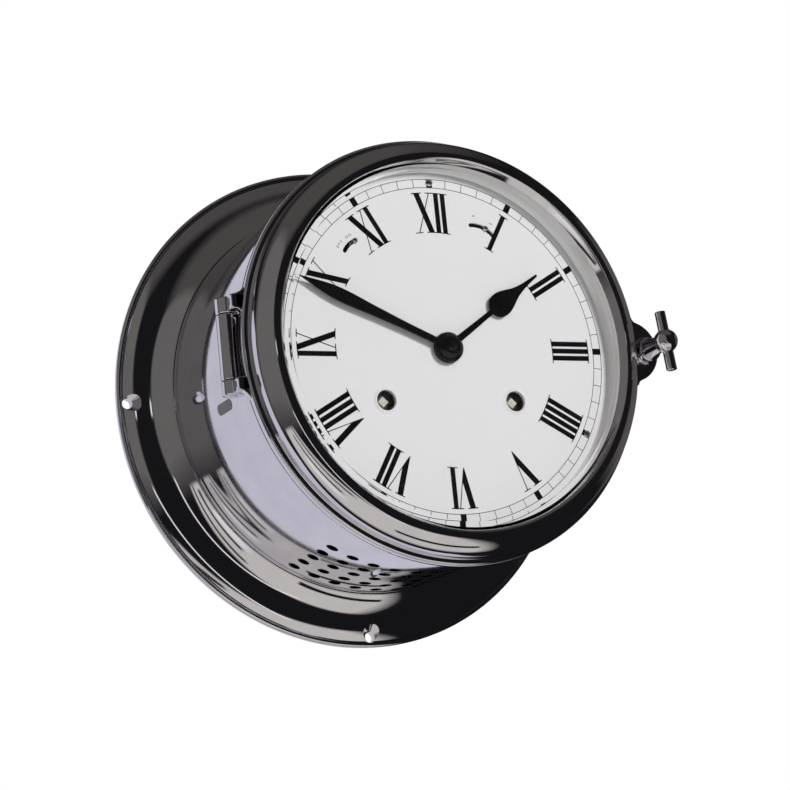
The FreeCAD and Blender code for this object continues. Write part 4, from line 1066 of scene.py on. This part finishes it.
class DECKCLOCK_OT_stage(bpy.types.Operator):
    """Pale floor, soft studio light and the camera"""
    bl_idname = "deckclock.stage"
    bl_label = "Stage"

    def execute(self, context):
        bpy.ops.object.select_all(action="DESELECT")
        bpy.ops.mesh.primitive_plane_add(size=4.0, location=(0, 0, -0.42))
        floor = named("floor")
        bpy.ops.object.transform_apply(location=True)
        material, tree, place = material_tree("pale_paper")
        fibre = grain(tree, place, 30.0, 3.0)
        shade = mixed(tree, spread(tree, fibre, 0.0, 1.0), linear("EFEFEF"), linear("EBEBEB"))
        surfaced(material, tree, {"Base Color": shade, "Roughness": 0.9})
        floor.data.materials.append(material)
        floor.visible_glossy = False

        for name, place, size, power, tint in (
                ("key", (0.36, -1.4, 0.38), 0.24, 17.5, "FFFDFC"),
                ("fill", (-0.6, -1.7, 0.1), 1.2, 7.5, "FFFFFF")):
            lamp = bpy.data.lights.new(name, "AREA")
            lamp.size = size
            lamp.energy = power
            lamp.color = linear(tint)[:3]
            holder = bpy.data.objects.new(name, lamp)
            holder.location = place
            holder.rotation_euler = (-Vector(place)).to_track_quat("-Z", "Y").to_euler()
            holder.visible_glossy = False
            holder.visible_transmission = False
            holder.visible_camera = False
            context.collection.objects.link(holder)
        self.sky(context)

        eye = bpy.data.cameras.new("camera")
        eye.lens = 124.5
        eye.sensor_width = 36
        eye.clip_start = 0.05
        holder = bpy.data.objects.new("camera", eye)
        turn = (Matrix.Rotation(math.radians(-26.72), 3, "Z")
                @ Matrix.Rotation(math.radians(102.78), 3, "X")
                @ Matrix.Rotation(math.radians(-5.72), 3, "Z"))
        holder.matrix_world = Matrix.Translation((-0.50369, -1.05083, -0.26091)) @ turn.to_4x4()
        context.collection.objects.link(holder)
        context.scene.camera = holder
        context.scene.view_settings.view_transform = "Standard"
        return {"FINISHED"}

    def sky(self, context):
        """A white room to the eye; the polished case mirrors its dark ceiling and its cards."""
        world = bpy.data.worlds.new("studio")
        world.use_nodes = True
        tree = world.node_tree
        tree.nodes.clear()
        way = add_node(tree, "ShaderNodeTexCoord").outputs["Generated"]
        parts = add_node(tree, "ShaderNodeSeparateXYZ", {"Vector": way})
        shade = linear("19181A")
        for wall, turn, low, high, soft, tint in (
                ("+z", 0, (-1.2, -1.0), (0.6, 0.8), 0.3, "504D4B"),
                ("-x", 0, (-1.9, -0.35), (0.5, 1.6), 0.2, "6E6B69"),
                ("+x", 0, (-0.3, -0.2), (0.9, 0.6), 0.1, "5A5654"),
                ("+y", 0, (-1.6, -1.2), (0.62, 0.6), 0.04, "D0CEDA"),
                ("-z", 0, (-2.3, -1.25), (0.62, 0.42), 0.1, "D2CEC9"),
                ("-z", 0, (-2.3, -1.0), (-0.45, -0.84), 0.04, "222124"),
                ("-z", 0, (-2.0, -0.5), (-0.62, -0.36), 0.03, "222124"),
                ("-z", 0, (-1.3, -0.3), (-0.6, 0.0), 0.08, "F2F0EE"),
                ("-z", 0, (-0.1, -0.2), (0.54, -0.05), 0.012, "19181A"),
                ("-y", 45, (-0.60, -0.72), (-0.53, 0.32), 0.012, "FFFFFF"),
                ("-y", 0, (-0.49, 0.19), (-0.41, 0.26), 0.01, "FFFFFF")):
            shade = mixed(tree, self.card(tree, parts, wall, turn, low, high, soft), shade,
                          linear(tint))
        path = add_node(tree, "ShaderNodeLightPath")
        mirrored = mixed(tree, path.outputs["Is Glossy Ray"], linear("D0D0D0"), shade)
        seen = mixed(tree, path.outputs["Is Camera Ray"], mirrored, (1, 1, 1, 1))
        back = add_node(tree, "ShaderNodeBackground", {"Color": seen, "Strength": 1.0})
        add_node(tree, "ShaderNodeOutputWorld", {"Surface": back.outputs["Background"]})
        context.scene.world = world

    @staticmethod
    def card(tree, parts, wall, turn, low, high, soft):
        """1 where a ray leaves through a card on one wall of a cube, turned in its wall.

        low and high are the card's corners, with the wall at a distance of one.
        """
        axis = "xyz".index(wall[1])
        across, up = [parts.outputs[other] for other in range(3) if other != axis]
        sign = 1.0 if wall[0] == "+" else -1.0

        def computed(kind, first, second):
            return add_node(tree, "ShaderNodeMath", {0: first, 1: second},
                            operation=kind).outputs["Value"]

        depth = computed("MAXIMUM", computed("MULTIPLY", parts.outputs[axis], sign), 0.0001)
        p, q = computed("DIVIDE", across, depth), computed("DIVIDE", up, depth)
        cosine, sine = math.cos(math.radians(turn)), math.sin(math.radians(turn))
        u = computed("ADD", computed("MULTIPLY", p, cosine), computed("MULTIPLY", q, sine))
        v = computed("SUBTRACT", computed("MULTIPLY", q, cosine), computed("MULTIPLY", p, sine))
        inside = computed("GREATER_THAN", parts.outputs[axis], 0.0) if sign > 0 \
            else computed("LESS_THAN", parts.outputs[axis], 0.0)
        for place, start, end in ((u, low[0], high[0]), (v, low[1], high[1])):
            off = computed("ABSOLUTE", computed("SUBTRACT", place, (start + end) / 2), 0.0)
            half = (end - start) / 2
            edge = spread(tree, off, 1.0, 0.0, half - soft, half + soft)
            inside = computed("MULTIPLY", inside, edge)
        return inside


class DECKCLOCK_PT_panel(bpy.types.Panel):
    """Lists the clock's sizes and its building steps"""
    bl_idname = "DECKCLOCK_PT_panel"
    bl_label = "Deck clock"
    bl_space_type = "VIEW_3D"
    bl_region_type = "UI"
    bl_category = "Deck clock"

    def draw(self, context):
        for group in GROUPS:
            sizes = getattr(context.scene, group)
            for key in sizes.bl_rna.properties.keys():
                if key not in ("rna_type", "name"):
                    self.layout.prop(sizes, key)
        for step in STEPS:
            self.layout.operator(step.bl_idname)


GROUPS = {
    "deck_clock_case": DeckClockCase, "deck_clock_bezel": DeckClockBezel,
    "deck_clock_dial": DeckClockDial, "deck_clock_finish": DeckClockFinish,
}
STEPS = (
    DECKCLOCK_OT_finishes, DECKCLOCK_OT_flange, DECKCLOCK_OT_drum, DECKCLOCK_OT_case_trim,
    DECKCLOCK_OT_bezel, DECKCLOCK_OT_glass, DECKCLOCK_OT_hinge_and_lock, DECKCLOCK_OT_dial,
    DECKCLOCK_OT_print, DECKCLOCK_OT_hands, DECKCLOCK_OT_levers, DECKCLOCK_OT_back,
    DECKCLOCK_OT_stage,
)


def register():
    for kind in (*GROUPS.values(), *STEPS, DECKCLOCK_PT_panel):
        bpy.utils.register_class(kind)
    for name, group in GROUPS.items():
        setattr(bpy.types.Scene, name, bpy.props.PointerProperty(type=group))


def unregister():
    for name in GROUPS:
        delattr(bpy.types.Scene, name)
    for kind in (DECKCLOCK_PT_panel, *reversed(STEPS), *GROUPS.values()):
        bpy.utils.unregister_class(kind)


def main():
    """Registers the add-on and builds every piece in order."""
    register()
    for step in STEPS:
        family, name = step.bl_idname.split(".")
        getattr(getattr(bpy.ops, family), name)()


if __name__ == "__main__":
    main()
